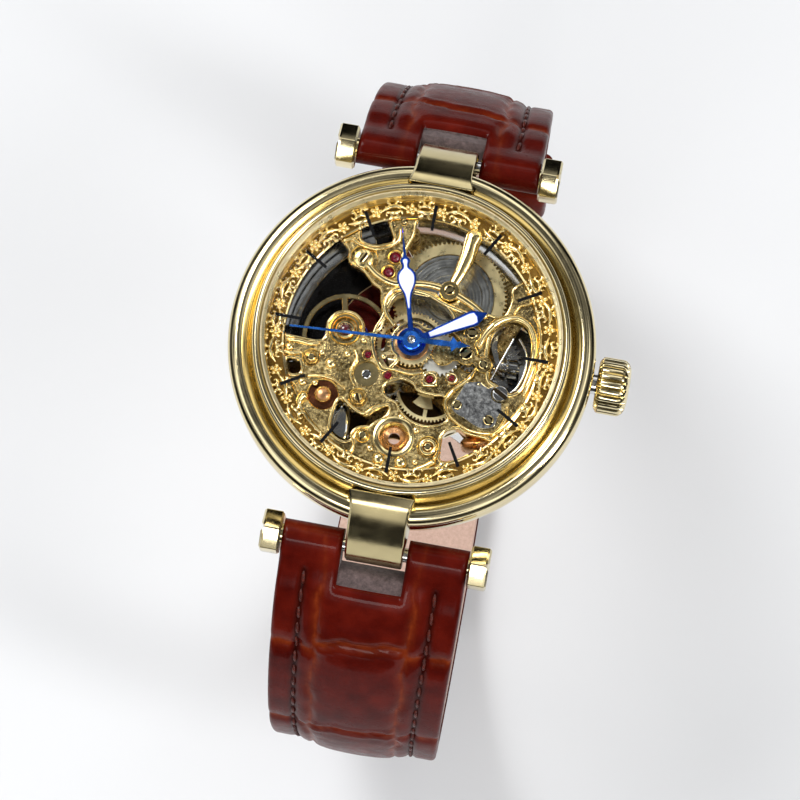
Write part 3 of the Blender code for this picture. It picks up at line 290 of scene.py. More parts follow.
def leather():
    """Glazed crocodile-embossed calf: red-brown fields, paler rubbed ridges, painted shade in the stitch channel and
    fine pores.
    """
    look = Look("leather_glazed", 0.3, 0.0, Coat_Weight=0.17, Coat_Roughness=0.09, Specular_IOR_Level=0.02)
    ridge = attribute(look, "ridge")
    cloud = look.noise(380, 5, rough=0.5)
    field = look.ramp(cloud, [(0.25, (0.05, 0.0025, 0.0015)), (0.5, (0.085, 0.005, 0.0025)),
        (0.78, (0.13, 0.009, 0.004))])
    rubbed = look.ramp(look.noise(900, 5), [(0.3, (0.15, 0.016, 0.004)), (0.7, (0.30, 0.05, 0.01))])
    channel_shade = look.ramp(look.noise(900, 5), [(0.3, (0.008, 0.001, 0.001)), (0.7, (0.035, 0.004, 0.002))])
    # where the ridge attribute is negative, in the stitch channel, the colour is painted shade
    depth = look.node("ShaderNodeMath", {"operation": "MULTIPLY"})
    look.tree.links.new(ridge, depth.inputs[0])
    depth.inputs[1].default_value = -1.0
    look.colour(look.blend(depth.outputs["Value"], look.blend(ridge, field, rubbed), channel_shade))
    look.roughness(look.noise(700, 5), 0.24, 0.4)
    pores = look.node("ShaderNodeTexVoronoi", {"feature": "DISTANCE_TO_EDGE"}, Vector=look.stretched((1, 0.7, 1)),
        Scale=2600.0).outputs["Distance"]
    look.bump(look.ramp(pores, [(0, 0), (0.22, 1)]), 0.22, 0.03)
    look.bump(look.noise(650, 6), 0.28, 0.12)
    return look.bump(look.noise(2400, 2, (1, 7, 7)), 0.14, 0.03).mat


def suede(name, low, high):
    look = Look(name, 0.85, 0.0, Sheen_Weight=0.35, Sheen_Roughness=0.5)
    look.tones(look.noise(1800, 8, rough=0.75), low, high)
    look.roughness(look.noise(2500, 4), 0.75, 0.95)
    look.bump(look.noise(7000, 6), 0.7, 0.06)
    return look.bump(look.noise(900, 4), 0.3, 0.1).mat


def thread():
    look = Look("waxed_thread", 0.3, 0.0, Specular_IOR_Level=0.3)
    look.tones(look.noise(2600, 4), (0.03, 0.005, 0.004), (0.13, 0.02, 0.011))
    twist = look.node("ShaderNodeTexWave", {"wave_type": "BANDS"}, Vector=look.stretched((1, 1, 1), (0, 0, 0.7)),
        Scale=2600.0, Distortion=1.0).outputs["Fac"]
    return look.bump(twist, 0.5, 0.05).mat


LEATHER, THREAD = leather(), thread()
LINING = suede("lining_calf", (0.50, 0.33, 0.26), (0.68, 0.48, 0.39))
SUEDE = suede("suede_inside", (0.035, 0.022, 0.02), (0.17, 0.115, 0.11))


# ---- outlines -------------------------------------------------------------------------
def pts(text):
    """Points written as "x y, x y"; profiles as "radius height, radius height"."""
    return [tuple(map(float, point.split())) for point in text.split(",")]


def angle(a, b):
    return atan2(b[1] - a[1], b[0] - a[0])


def polar(c, r, a):
    return (c[0] + r * cos(a), c[1] + r * sin(a))


def circle(c, r, n, phase=0.0):
    return [polar(c, r, phase + 2 * pi * i / n) for i in range(n)]


def bar(a, b, w0, w1=None):
    w1 = w0 if w1 is None else w1
    t = angle(a, b) + pi / 2
    return [polar(a, w0 / 2, t + pi), polar(b, w1 / 2, t + pi), polar(b, w1 / 2, t), polar(a, w0 / 2, t)]


def arc_band(c, r0, r1, a0, a1, n):
    steps = [radians(a0 + (a1 - a0) * i / n) for i in range(n + 1)]
    return [polar(c, r1, a) for a in steps] + [polar(c, r0, a) for a in reversed(steps)]


def ccw(p):
    s = sum(p[i - 1][0] * p[i][1] - p[i][0] * p[i - 1][1] for i in range(len(p)))
    return list(p) if s > 0 else list(p)[::-1]


def spline(points, closed, per):
    """A smooth line through points (Catmull-Rom)."""
    n = len(points)
    out = []
    for i in range(n if closed else n - 1):
        p = [points[(i + k) % n] if closed else points[min(max(i + k, 0), n - 1)] for k in (-1, 0, 1, 2)]
        for j in range(per):
            t = j / per
            out.append(tuple(0.5 * (2 * b + (c - a) * t + (2 * a - 5 * b + 4 * c - d) * t * t +
                (3 * b - a - 3 * c + d) * t ** 3) for a, b, c, d in zip(*p)))
    return out if closed else out + [tuple(points[-1])]


def ribbon(points, widths, per=6):
    """The outline of a curved arm whose width changes along it, with round ends."""
    mid = spline([(*p, w) for p, w in zip(points, widths)], False, per)
    left, right = [], []
    for i, (x, y, w) in enumerate(mid):
        a, b = mid[max(i - 1, 0)], mid[min(i + 1, len(mid) - 1)]
        t = atan2(b[1] - a[1], b[0] - a[0])
        left.append(polar((x, y), w / 2, t + pi / 2))
        right.append(polar((x, y), w / 2, t - pi / 2))
    (x0, y0, w0), (x1, y1, w1) = mid[0], mid[-1]
    t0, t1 = angle(mid[0], mid[1]), angle(mid[-2], mid[-1])
    cap1 = [polar((x1, y1), w1 / 2, t1 - pi / 2 + pi * k / 6) for k in range(1, 6)]
    cap0 = [polar((x0, y0), w0 / 2, t0 + pi / 2 + pi * k / 6) for k in range(1, 6)]
    return right + cap1 + left[::-1] + cap0


def gear(c, z, m, phase, tip=0.8, root=1.2):
    """Watch teeth: straight flanks and rounded tips; a tooth is centred on phase."""
    r, out = z * m / 2, []
    pitch = 2 * pi / z
    for i in range(z):
        a = phase + pitch * i
        for dr, da in ((-root * m, -0.36), (-0.3 * m, -0.24), (0.1 * m, -0.22), (0.5 * tip * m, -0.15),
                       (0.97 * tip * m, 0.0), (0.5 * tip * m, 0.15), (0.1 * m, 0.22), (-0.3 * m, 0.24),
                       (-root * m, 0.36)):
            out.append(polar(c, r + dr, a + pitch * da))
    return out


def mesh_phase(ca, za, pa, cb, zb):
    line = angle(ca, cb)
    off = (pa - line) % (2 * pi / za)
    return line + pi - off * za / zb + pi / zb


def module(a, b, za, zb):
    return 2 * hypot(a[0] - b[0], a[1] - b[1]) / (za + zb)


def spokes(c, r0, r1, count, width, phase=0.0, n=48):
    """Openings between spokes that widen towards hub and rim."""
    out = []
    for i in range(count):
        a0, a1 = phase + 2 * pi * i / count, phase + 2 * pi * (i + 1) / count
        g0, g1 = width / 2 / r0, width / 2 / r1
        k1 = n // count
        outer = [polar(c, r1, a0 + g1 + (a1 - a0 - 2 * g1) * k / k1) for k in range(k1 + 1)]
        inner = [polar(c, r0, a0 + g0 + (a1 - a0 - 2 * g0) * k / 8) for k in range(9)]
        out.append(outer + inner[::-1])
    return out


# ---- shapes: each is (vertices, faces, material index of each face) -------------------
def loops_of(adds, subs):
    """Boundary loops of the joined outlines less the cut ones: outer ones anticlockwise, holes clockwise."""
    polys = [(ccw(p), 1) for p in adds] + [(ccw(p), 0) for p in subs]
    if len(polys) == 1:
        return [polys[0][0]]
    pts, faces = [], []
    for p, _ in polys:
        faces.append(list(range(len(pts), len(pts) + len(p))))
        pts += [Vector(q) for q in p]
    v, _, tris, _, _, src = delaunay_2d_cdt(pts, [], faces, 0, 1e-5)
    follow = {}
    keep = [t for t, s in zip(tris, src) if any(polys[k][1] for k in s) and not any(not polys[k][1] for k in s)]
    edges = {(t[i - 1], t[i]) for t in keep for i in range(3)}
    for a, b in edges:
        if (b, a) not in edges:
            follow.setdefault(a, []).append(b)
    loops = []
    while follow:
        start = next(iter(follow))
        line, at = [], start
        while at in follow:
            line.append(at)
            nxt = follow[at].pop()
            if not follow[at]:
                del follow[at]
            at = nxt
            if at == start:
                break
        if len(line) > 2:
            loops.append([tuple(v[i]) for i in line])
    return loops


def inset(loop, d):
    """The loop moved by d towards its left, which is the solid's inside."""
    n, out = len(loop), []
    for i in range(n):
        a, b, c = loop[i - 1], loop[i], loop[(i + 1) % n]
        l1, l2 = hypot(b[0] - a[0], b[1] - a[1]) or 1e-9, hypot(c[0] - b[0], c[1] - b[1]) or 1e-9
        n1 = (-(b[1] - a[1]) / l1, (b[0] - a[0]) / l1)
        n2 = (-(c[1] - b[1]) / l2, (c[0] - b[0]) / l2)
        k = max(1 + n1[0] * n2[0] + n1[1] * n2[1], 0.5)
        out.append((b[0] + d * (n1[0] + n2[0]) / k, b[1] + d * (n1[1] + n2[1]) / k))
    return out


def plate(adds, subs=(), z0=0.0, z1=1.0, top=0.06, bottom=0.0, mats=(0, 1, 1), round_edge=False):
    """A flat part with its edges bevelled by top and bottom; mats are for faces, bevels and walls."""
    loops = loops_of(adds, list(subs))
    levels = [(z0, bottom)] + ([(z0 + bottom, 0.0)] if bottom else [])
    if top and round_edge:
        levels += [(z1 - top + top * sin(a), top - top * cos(a)) for a in (0, pi / 6, pi / 3, pi / 2)]
    else:
        levels += ([(z1 - top, 0.0)] if top else []) + [(z1, top)]
    verts, faces, mat = [], [], []
    for loop in loops:
        n = len(loop)
        rings = []
        for z, d in levels:
            rings.append(len(verts))
            verts += [(x, y, z) for x, y in (inset(loop, d) if d else loop)]
        for k in range(len(levels) - 1):
            wall = levels[k][1] == levels[k + 1][1]
            for i in range(n):
                j = (i + 1) % n
                faces.append((rings[k] + i, rings[k] + j, rings[k + 1] + j, rings[k + 1] + i))
                mat.append(mats[2] if wall else mats[1])
    for end, flip in ((0, True), (-1, False)):
        z, d = levels[end]
        pts, cells = [], []
        for loop in loops:
            ring = ccw(inset(loop, d) if d else loop)
            cells.append(list(range(len(pts), len(pts) + len(ring))))
            pts += [Vector(p) for p in ring]
        v, _, tris, _, _, src = delaunay_2d_cdt(pts, [], cells, 0, 1e-6)
        base = len(verts)
        verts += [(p[0], p[1], z) for p in v]
        for t, s in zip(tris, src):
            if len(s) % 2:
                faces.append(tuple(base + i for i in (reversed(t) if flip else t)))
                mat.append(mats[0])
    return verts, faces, mat


def lathe(profile, n, centre=(0.0, 0.0), mats=None):
    """Turn a profile of (radius, height) about a vertical axis. mats has one index for each profile edge."""
    verts, rows, faces, mat = [], [], [], []
    for r, h in profile:
        if r < 1e-6:
            rows.append([len(verts)] * n)
            verts.append((*centre, h))
        else:
            rows.append(list(range(len(verts), len(verts) + n)))
            verts += [(*polar(centre, r, 2 * pi * i / n), h) for i in range(n)]
    for k in range(len(rows)):
        a, b = rows[k - 1], rows[k]
        for i in range(n):
            j = (i + 1) % n
            f = []
            for v in (a[i], a[j], b[j], b[i]):
                if v not in f:
                    f.append(v)
            if len(f) > 2:
                faces.append(tuple(f))
                mat.append(mats[k - 1] if mats else 0)
    return verts, faces, mat


def sleeve(r0, r1, z0, z1, n, centre=(0.0, 0.0)):
    """A plain ring, or a pin where r0 is 0."""
    return lathe([(r0, z0), (r1, z0), (r1, z1), (r0, z1)], n, centre)


def placed(shape, matrix):
    return [tuple(matrix @ Vector(v)) for v in shape[0]], shape[1], shape[2]


def along_x(shape):
    """Stand a shape's +Z along +X: (across, up, along) becomes (along, across, up)."""
    return [(z, x, y) for x, y, z in shape[0]], shape[1], shape[2]


def remat(shape, index):
    return shape[0], shape[1], [index] * len(shape[1])


def swept(verts, sides, mat=0, ends=True):
    """The skin over rings of points, each with so many sides, and its two flat ends."""
    last = len(verts) - sides
    faces = [(i + k, i + (k + 1) % sides, i + (k + 1) % sides + sides, i + k + sides) for i in range(0, last, sides)
        for k in range(sides)]
    if ends:
        faces += [tuple(reversed(range(sides))), tuple(range(last, last + sides))]
    return verts, faces, [mat] * len(faces)


def tube(path, radius, sides, mat=0, squash=1.0):
    """A round bead along a path of 3-D points; radius may be one number or one per point."""
    n = len(path)
    rad = radius if hasattr(radius, "__len__") else [radius] * n
    verts = []
    for i, p in enumerate(path):
        t = (Vector(path[min(i + 1, n - 1)]) - Vector(path[max(i - 1, 0)])).normalized()
        side = t.cross(Vector((0, 0, 1)))
        side = side.normalized() if side.length > 1e-3 else Vector((1, 0, 0))
        rise = side.cross(t)
        for k in range(sides):
            a = 2 * pi * k / sides
            verts.append(tuple(Vector(p) + side * cos(a) * rad[i] + rise * sin(a) * rad[i] * squash))
    return swept(verts, sides, mat)


def joined(shapes):
    verts, faces, mat = [], [], []
    for v, f, m in shapes:
        base = len(verts)
        verts += v
        faces += [tuple(base + i for i in face) for face in f]
        mat += m
    return verts, faces, mat


def piece(name, body, kind, shapes, node=None, ridge=None):
    """One visible piece of a kind (slot, materials, sharp angle, weld), in place of a CAD node. A soft piece has its
    embossing as a point attribute for the material."""
    slot, mats, sharp, weld = kind
    v, f, m = joined(shapes)
    me = bpy.data.meshes.new(name)
    me.from_pydata([(x * MM, y * MM, z * MM) for x, y, z in v], [], f)
    for material in mats:
        me.materials.append(material)
    me.polygons.foreach_set("material_index", m)
    if ridge is not None:
        me.attributes.new("ridge", "FLOAT", "POINT").data.foreach_set("value", ridge.astype(np.float32))
    bm = bmesh.new()
    bm.from_mesh(me)
    if ridge is not None:
        bmesh.ops.delete(bm, geom=[q for q in bm.verts if not q.link_faces], context="VERTS")
    else:
        if weld:
            bmesh.ops.remove_doubles(bm, verts=bm.verts, dist=1e-7)
        bmesh.ops.dissolve_degenerate(bm, edges=bm.edges, dist=1e-8)
    bmesh.ops.recalc_face_normals(bm, faces=bm.faces)
    bm.to_mesh(me)
    bm.free()
    me.polygons.foreach_set("use_smooth", [True] * len(me.polygons))
    me.set_sharp_from_angle(angle=radians(sharp))
    ob = bpy.data.objects.new(name, me)
    bpy.context.scene.collection.objects.link(ob)
    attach(ob, body)
    if node:
        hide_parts(node)


def screw(c, z, r, turn, height, width=0.2, seat=0.12):
    """A slotted screw head with a rounded polished edge, whose underside is at z. Its slot floor and its foot carry
    material 1, painted shade that darkens the slot and the foot.
    """
    a = (cos(turn) * r * 1.2, sin(turn) * r * 1.2)
    slot_cut = bar((c[0] - a[0], c[1] - a[1]), (c[0] + a[0], c[1] + a[1]), width * r * 2)
    # the foot under the slot takes material 1, which is painted shade
    return [plate([circle(c, r, 28)], [], z - seat, z + height * 0.3, 0, mats=(1, 1, 1)), plate([circle(c, r, 28)],
        [slot_cut], z + height * 0.3, z + height, min(0.12, r * 0.35), mats=(0, 0, 0), round_edge=True)]


def jewel(c, z, r):
    """A ruby bearing: a domed disc with its pivot hole."""
    return lathe([(0, z - 0.1), (r, z - 0.1), (r, z + 0.02), (r * 0.9, z + 0.09), (r * 0.55, z + 0.1),
        (r * 0.32, z + 0.03), (r * 0.18, z - 0.05), (0, z - 0.06)], 28, c)


# Kinds of piece: slot, materials of the faces and the bevels, the angle from which an edge is sharp, and whether
# points that touch are welded.
GILT = ("plate_gold", [PLATE, PLATE_EDGE], 25, False)
STEEL_PART = ("steel", [STEEL, STEEL_EDGE], 25, False)
STEEL_TURNED = ("steel", [STEEL], 30, True)
BRASS_WHEEL = ("wheel_brass", [BRASS, BRASS_EDGE], 25, False)
CASE_PART = ("case_gold", [CASE], 25, True)
LEATHER_KIND = ("leather", [LEATHER, SUEDE], 65, False)


# ---- case -----------------------------------------------------------------------------
def rounded(points, radius, n=5):
    """Round the corners of a closed profile; radius is one number or one for each corner."""
    out = []
    for i, b in enumerate(points):
        r = radius[i] if hasattr(radius, "__len__") else radius
        a, c = points[i - 1], points[(i + 1) % len(points)]
        if r <= 0:
            out.append(b)
            continue
        d1, d2 = hypot(a[0] - b[0], a[1] - b[1]), hypot(c[0] - b[0], c[1] - b[1])
        cut = min(r, 0.45 * d1, 0.45 * d2)
        p, q = [(b[0] + (e[0] - b[0]) * cut / d, b[1] + (e[1] - b[1]) * cut / d) for e, d in ((a, d1), (c, d2))]
        for k in range(n + 1):
            t = k / n
            out.append(tuple((1 - t) ** 2 * u + 2 * t * (1 - t) * v + t * t * w for u, v, w in zip(p, b, q)))
    return out


ROUND = 192
SATIN_GOLD = metal("rehaut_satin_gold", (0.95, 0.82, 0.50), 0.3, 0.25, 0.06)
case_profile = rounded(pts("15.25 1.5, 17 1.5, 18 2.3, 18.72 3.7, 18.97 5.2, 18.97 6.1, 18.72 6.93, 15.25 6.93"),
    [0.05, 0.3, 0.9, 0.9, 0.6, 0.5, 0.12, 0.05])
piece("case_middle_body", "case", CASE_PART, [lathe(case_profile, ROUND)], "case_middle")
lip = [polar((15.93, 10.95), 0.37, radians(a)) for a in range(180, 10, -14)]
torus = [polar((17.9, 7.9), 1.1, radians(a)) for a in range(166, -20, -7)]
bezel_profile = ([(15.56, 7.0)] + lip + pts("16.42 10.3, 16.5 9.85, 16.56 9.3, 16.68 8.75") + torus + [(18.86, 7.02)])
piece("bezel_ring", "case", ("case_gold", [CASE], 40, True), [lathe(bezel_profile, ROUND)], "bezel")
piece("front_crystal", "case", ("glass", [CRYSTAL], 30, True), [lathe(pts(
    "0 11.05, 15.3 11.05, 15.3 11.7, 15.22 11.84, 15 11.95, 12 12.1, 9 12.2, 5 12.28, 0 12.3"), ROUND)], "crystal")
# the seal is a real part; its cream colour is a painted reflection
piece("crystal_seal", "case", ("rubber", [SEAL_CREAM_REFLECTION], 30, True), [lathe(rounded(pts(
    "15.34 11.06, 15.5 11.06, 15.5 11.5, 15.34 11.5"), 0.04, 3), ROUND)], "crystal_gasket")
piece("rehaut", "case", ("case_gold", [SATIN_GOLD], 30, True),
    [lathe(rounded(pts("15.06 11, 15.1 8.85, 15.4 8.85, 15.4 11"), [0.06, 0, 0, 0.06], 4), ROUND)], "rehaut_ring")
piece("back_ring", "case", ("case_gold", [CASE], 30, True), [lathe(rounded(pts(
    "12.95 0, 16.3 0, 16.9 0.6, 16.9 1.3, 12.95 1.3"), [0.1, 0.2, 0.2, 0.05, 0.05]), ROUND)], "case_back_ring")
piece("back_glass", "case", ("glass", [CRYSTAL], 30, True), [lathe(rounded(pts("0 0.02, 12.9 0.02, 12.9 1.1, 0 1.1"),
    [0, 0.1, 0.1, 0]), ROUND)], "case_back_glass")
piece("steel_movement_ring", "case", STEEL_TURNED, [lathe(rounded(pts("13.2 1.6, 15.2 1.6, 15.2 8.15, 13.2 8.15"),
    0.08, 3), ROUND)], "movement_ring")
piece("tube_of_crown", "case", STEEL_TURNED, [placed(along_x(lathe(pts(
    "0.62 15.4, 1.1 15.4, 1.1 17.6, 1.02 17.7, 1.02 17.8, 1.1 17.9, 1.1 20.9, 0.62 20.9"), 48)),
    Matrix.Translation((0, 0, STEM_Z)))], "crown_tube")

LUG_SIDE = pts("16.4 10.9, 17.5 10.62, 19.5 9.2, 21.1 7.2, 22.4 4.5, 22.6 2.5, 21.5 1, 18 1, 16.4 6")
for side, tag in ((1, "12"), (-1, "6")):
    profile = rounded(LUG_SIDE, [0.25, 1.2, 2.2, 2.0, 1.4, 1.0, 0.5, 0.5, 0.3], 8)
    v, f, m = plate([[(side * y, z) for y, z in profile]], z0=-3.0, z1=3.0, top=0.22, bottom=0.22, mats=(0, 0, 0),
        round_edge=True)
    flare = []
    for y, z, x in v:      # the lug widens where it grows out of the bezel
        t = min(max((18.6 - abs(y)) / 2.2, 0.0), 1.0) ** 2
        flare.append((x * (1 + 0.17 * t), y, z))
    # the lugs take the darker satin gold, partly painted shade
    piece("lug_block_" + tag, "case", ("case_gold", [CASE_SATIN_SHADED], 25, True), [(flare, f, m)], "lug_" + tag)
    bar_at = Matrix.Translation((0, side * BAR_Y, BAR_Z))
    piece("t_bar_pin_" + tag, "case", STEEL_TURNED, [placed(along_x(sleeve(0, 0.75, -9.72, 9.72, 24)), bar_at)],
        "t_bar_" + tag)
    for sx, where in ((1, "right"), (-1, "left")):
        hexagon = circle((0, 0), 2.42, 6, pi / 2)
        cut = bar((0, -2.7), (0, 2.7), 0.46)
        head = [
            plate([rounded(hexagon, 0.12, 3)], [], 9.82, 11.5, 0, 0.22, round_edge=False, mats=(0, 1, 0)),
            plate([rounded(hexagon, 0.12, 3)], [cut], 11.5, 11.9, 0.2, 0, mats=(0, 1, 0)),
            sleeve(0, 1.05, 9.5, 9.9, 32)]
        turn = Matrix.Diagonal((sx, 1, 1, 1))
        piece(f"hex_head_{tag}_{where}", "case", ("case_gold", [CASE, CASE_WORN], 30, True),
            [placed(along_x(s), bar_at @ turn) for s in head], f"hex_screw_{tag}_{where}")


# crown: 22 rounded ribs with narrow grooves, chamfered at both ends
def crown_shape():
    n, ribs = 22 * 10, 22
    stations = [(19.4, 1.45, 0), (19.4, 2.35, 0), (19.55, 2.62, 0.4), (19.75, 2.86, 0.9), (19.95, 2.95, 1),
        (21.85, 2.95, 1), (22.1, 2.9, 0.95), (22.4, 2.68, 0.6), (22.58, 2.45, 0.12), (22.72, 2.2, 0), (22.8, 1.7, 0),
        (22.85, 0.9, 0), (22.85, 0.0, 0)]
    verts = []
    for x, r, depth in stations:
        for i in range(n):
            t = (i * ribs / n) % 1
            groove = max(0.0, 1 - abs(t - 0.5) / 0.2) ** 0.6
            crown_up = 0.05 * (1 - (min(t, 1 - t) / 0.3) ** 2) if min(t, 1 - t) < 0.3 else 0
            rr = r - depth * (0.34 * groove + 0.03 - crown_up)
            a = 2 * pi * i / n
            verts.append((x, rr * cos(a), rr * sin(a)))
    return swept(verts, n, ends=False)


up = Matrix.Translation((0, 0, STEM_Z))
piece("crown_knob", "crown_body", ("case_gold", [CASE], 35, True), [placed(crown_shape(), up)], "crown")
piece("crown_seal", "stem_slide", ("rubber", [RUBBER], 30, True), [placed(along_x(sleeve(1.14, 1.37, 19.6, 20.0, 32)),
    up)], "crown_gasket")
piece("stem", "crown_body", STEEL_TURNED, [placed(along_x(lathe(pts(
    "0 7.6, 0.3 7.6, 0.4 7.7, 0.4 11.35, 0.22 11.4, 0.22 11.75, 0.45 11.8, 0.45 21.9, 0 21.9"), 32)), up)],
    "winding_stem")

# dial ring: raised scrollwork on an engraved ground that is painted dark as shade
ring_edge = pts("13.16 8.2, 15.15 8.2, 15.15 8.78, 14.98 8.92, 14.9 8.8, 13.42 8.8, 13.36 8.92, 13.2 8.86, 13.16 8.7")
piece("dial_ring_ground", "case", ("plate_gold", [SCROLL_GROUND_SHADE, SCROLL], 30, True), [lathe(ring_edge, ROUND,
    mats=[0, 0, 1, 1, 0, 1, 1, 1, 1])], "engraved_ring")


def curl(r, a, turn, size, hand):
    """A tapering spiral scroll that starts at radius r, angle a of the ring."""
    pts = []
    for k in range(19):
        t = k / 18
        q = turn + hand * (0.3 + 4.6 * t)
        rho = size * (1 - 0.78 * t)
        pts.append((t, rho * cos(q), rho * sin(q)))
    out, rad = [], []
    for t, u, v in pts:
        rr, aa = r + v, a + u / r
        out.append((rr * cos(aa), rr * sin(aa), 8.86 + 0.1 * sin(pi * t)))
        rad.append(0.2 - 0.1 * t)
    return out, rad


def leaf(r0, r1, a0, a1, thick, bow):
    """A curved leaf from one point of the ring to another, thick in the middle."""
    out = []
    for k in range(13):
        t = k / 12
        x, y = polar((0, 0), r0 + (r1 - r0) * t + bow * sin(pi * t), a0 + (a1 - a0) * t)
        out.append((x, y, 8.82 + 0.16 * sin(pi * t)))
    return tube(out, [thick * (0.3 + 0.7 * sin(pi * k / 12)) for k in range(13)], 7, squash=1.2)


def bead(c, r, z=8.8):
    return lathe([(0, z - 0.15), (r, z - 0.15), (r, z), (r * 0.87, z + r * 0.5), (r * 0.5, z + r * 0.85), (0, z + r)],
        12, c)


scrolls = []
chance = random.Random(12)
UNITS = 25
step = 2 * pi / UNITS
for k in range(UNITS):
    a = step * (k + chance.uniform(-0.1, 0.1))
    flip = 1 if k % 2 else -1
    flower = polar((0, 0), 14.15 + chance.uniform(-0.22, 0.22), a)
    turn = chance.uniform(0, 1)
    scrolls.append(bead(flower, 0.27, 8.88))
    for j in range(5):
        scrolls.append(bead(polar(flower, 0.42, turn + 2 * pi * j / 5), chance.uniform(0.22, 0.3), 8.82))
    for hand in (1, -1):
        scrolls.append(tube(*curl(14.62, a + step * 0.5 + hand * 0.046, pi / 2, chance.uniform(0.44, 0.56), hand),
            sides=8, squash=1.3))
        scrolls.append(tube(*curl(13.7, a + step * 0.5 + hand * 0.05, -pi / 2, chance.uniform(0.44, 0.56), -hand),
            sides=8, squash=1.3))
    scrolls.append(leaf(14.15, 14.15, a + 0.03, a + step - 0.03, 0.27, 0.42 * flip))
    scrolls.append(leaf(14.15, 14.15, a + step * 0.3, a + step * 0.72, 0.24, -0.34 * flip))
    for _ in range(5):
        edge = chance.choice((13.38, 14.95))
        scrolls.append(bead(polar((0, 0), edge, a + chance.uniform(0, step)), chance.uniform(0.14, 0.22)))
piece("dial_ring_scrollwork", "case", ("plate_gold", [SCROLL], 60, True), scrolls)

markers = []
for k in range(12):
    a = pi / 2 - 2 * pi * k / 12
    markers.append(plate([bar(polar(CENTRE, 11.5, a), polar(CENTRE, 14.2, a), 0.3, 0.36)], [], 10.95, 11.045, 0.02,
        mats=(0, 0, 0)))
piece("hour_markers", "case", ("marker_black", [MARKER], 30, True), markers)


# ---- strap ----------------------------------------------------------------------------
LOOP_A12, LOOP_A6, LOOP_B, LOOP_BOTTOM = 34.0, 37.0, 36.0, -60.1
SMOOTHING = 9
FULL_WIDTH = 19.4
NOTCH, NOTCH_HALF = 4.1, 3.4            # the notch for the lug: its end, from the T-bar, and half its width
ROLL, ROLL_R = 1.6, 1.62                # how far the leather is rolled over the T-bar, and the radius it has there
EDGE_R, LINING_EDGE_R = 0.55, 0.25      # rounding of the edges of the leather and of its lining
SEAM_IN, STITCH, STITCH_PITCH = 2.8, 1.55, 2.12
SLOT_FROM, SLOT_HALF = 62.6, 1.3        # the opening for the buckle's tongue
LINING_FROM, BUCKLE_AT = 1.7, 65.2


def loop_path(half_width):
    """Points down one side of the strap's loop with their arc lengths and directions."""
    th0 = asin(BAR_Y / half_width)
    zc = BAR_Z - LOOP_B * cos(th0)
    pts = [(half_width * sin(th0 + (pi - th0) * i / 600), max(zc + LOOP_B * cos(th0 + (pi - th0) * i / 600),
        LOOP_BOTTOM)) for i in range(601)]
    length = [0.0]
    for p, q in zip(pts, pts[1:]):
        length.append(length[-1] + hypot(p[0] - q[0], p[1] - q[1]))
    pts, length = np.array(pts), np.array(length)
    slope = np.gradient(pts, length, axis=0)
    soft = np.ones(SMOOTHING) / SMOOTHING
    slope = np.stack([np.convolve(np.pad(slope[:, k], SMOOTHING // 2, "edge"), soft, "valid") for k in (0, 1)], 1)
    return pts, length, slope


PATHS = {1: loop_path(LOOP_A12), -1: loop_path(LOOP_A6)}
LOOP_LEN = PATHS[1][1][-1] + PATHS[-1][1][-1]
L12, L6 = 66.8, LOOP_LEN - 66.0 - 17.0
HALVES = {1: ("12", L12), -1: ("6", L6)}


def one_side(side, s):
    pts, length, slope = PATHS[side]
    t = np.clip(s, 0, length[-1])
    y, z = np.interp(t, length, pts[:, 0]), np.interp(t, length, pts[:, 1])
    ty, tz = np.interp(t, length, slope[:, 0]), np.interp(t, length, slope[:, 1])
    n = np.hypot(ty, tz)
    ty, tz = ty / n, tz / n
    over = np.minimum(s, 0)
    return y + ty * over, z + tz * over, ty, tz


def along(s, side=1):
    """Points, directions and outward normals of the strap's middle line at arc lengths s from a side's T-bar."""
    s = np.asarray(s, float)
    far = s > PATHS[side][1][-1]
    y0, z0, ty0, tz0 = one_side(side, s)
    y1, z1, ty1, tz1 = one_side(-side, LOOP_LEN - s)
    y, z = np.where(far, -y1, y0), np.where(far, z1, z0)
    ty, tz = np.where(far, ty1, ty0), np.where(far, -tz1, tz0)
    return y, z, ty, tz, -tz, ty


def ramp_of(points):
    xs, ys = zip(*points)
    return lambda s: np.interp(s, xs, ys)


WIDTH = {1: ramp_of([(-2, FULL_WIDTH), (8, FULL_WIDTH), (66, 17.0), (80, 17.0)]), -1: ramp_of([(-2, FULL_WIDTH),
    (8, FULL_WIDTH), (L6 - 7, 16.4), (L6 - 5, 15.7), (L6 - 3, 13.9), (L6 - 1.4, 11.0), (L6 - 0.5, 8.4), (L6, 6.2)])}
THICK = {1: ramp_of(pts("0 3.1, 4.8 3.5, 20 3.2, 55 2.4, 80 2.4")), -1: ramp_of([(0, 3.1), (4.8, 3.5), (20, 3.2),
    (60, 2.4), (L6, 2.2)])}


def wobble(seed, x):
    """A smooth irregular wave between about -1 and 1."""
    return (np.sin(x * 1.7 + seed * 2.4) + 0.6 * np.sin(x * 3.1 + seed * 5.1) + 0.4 * np.sin(x * 5.3 + seed)) / 2


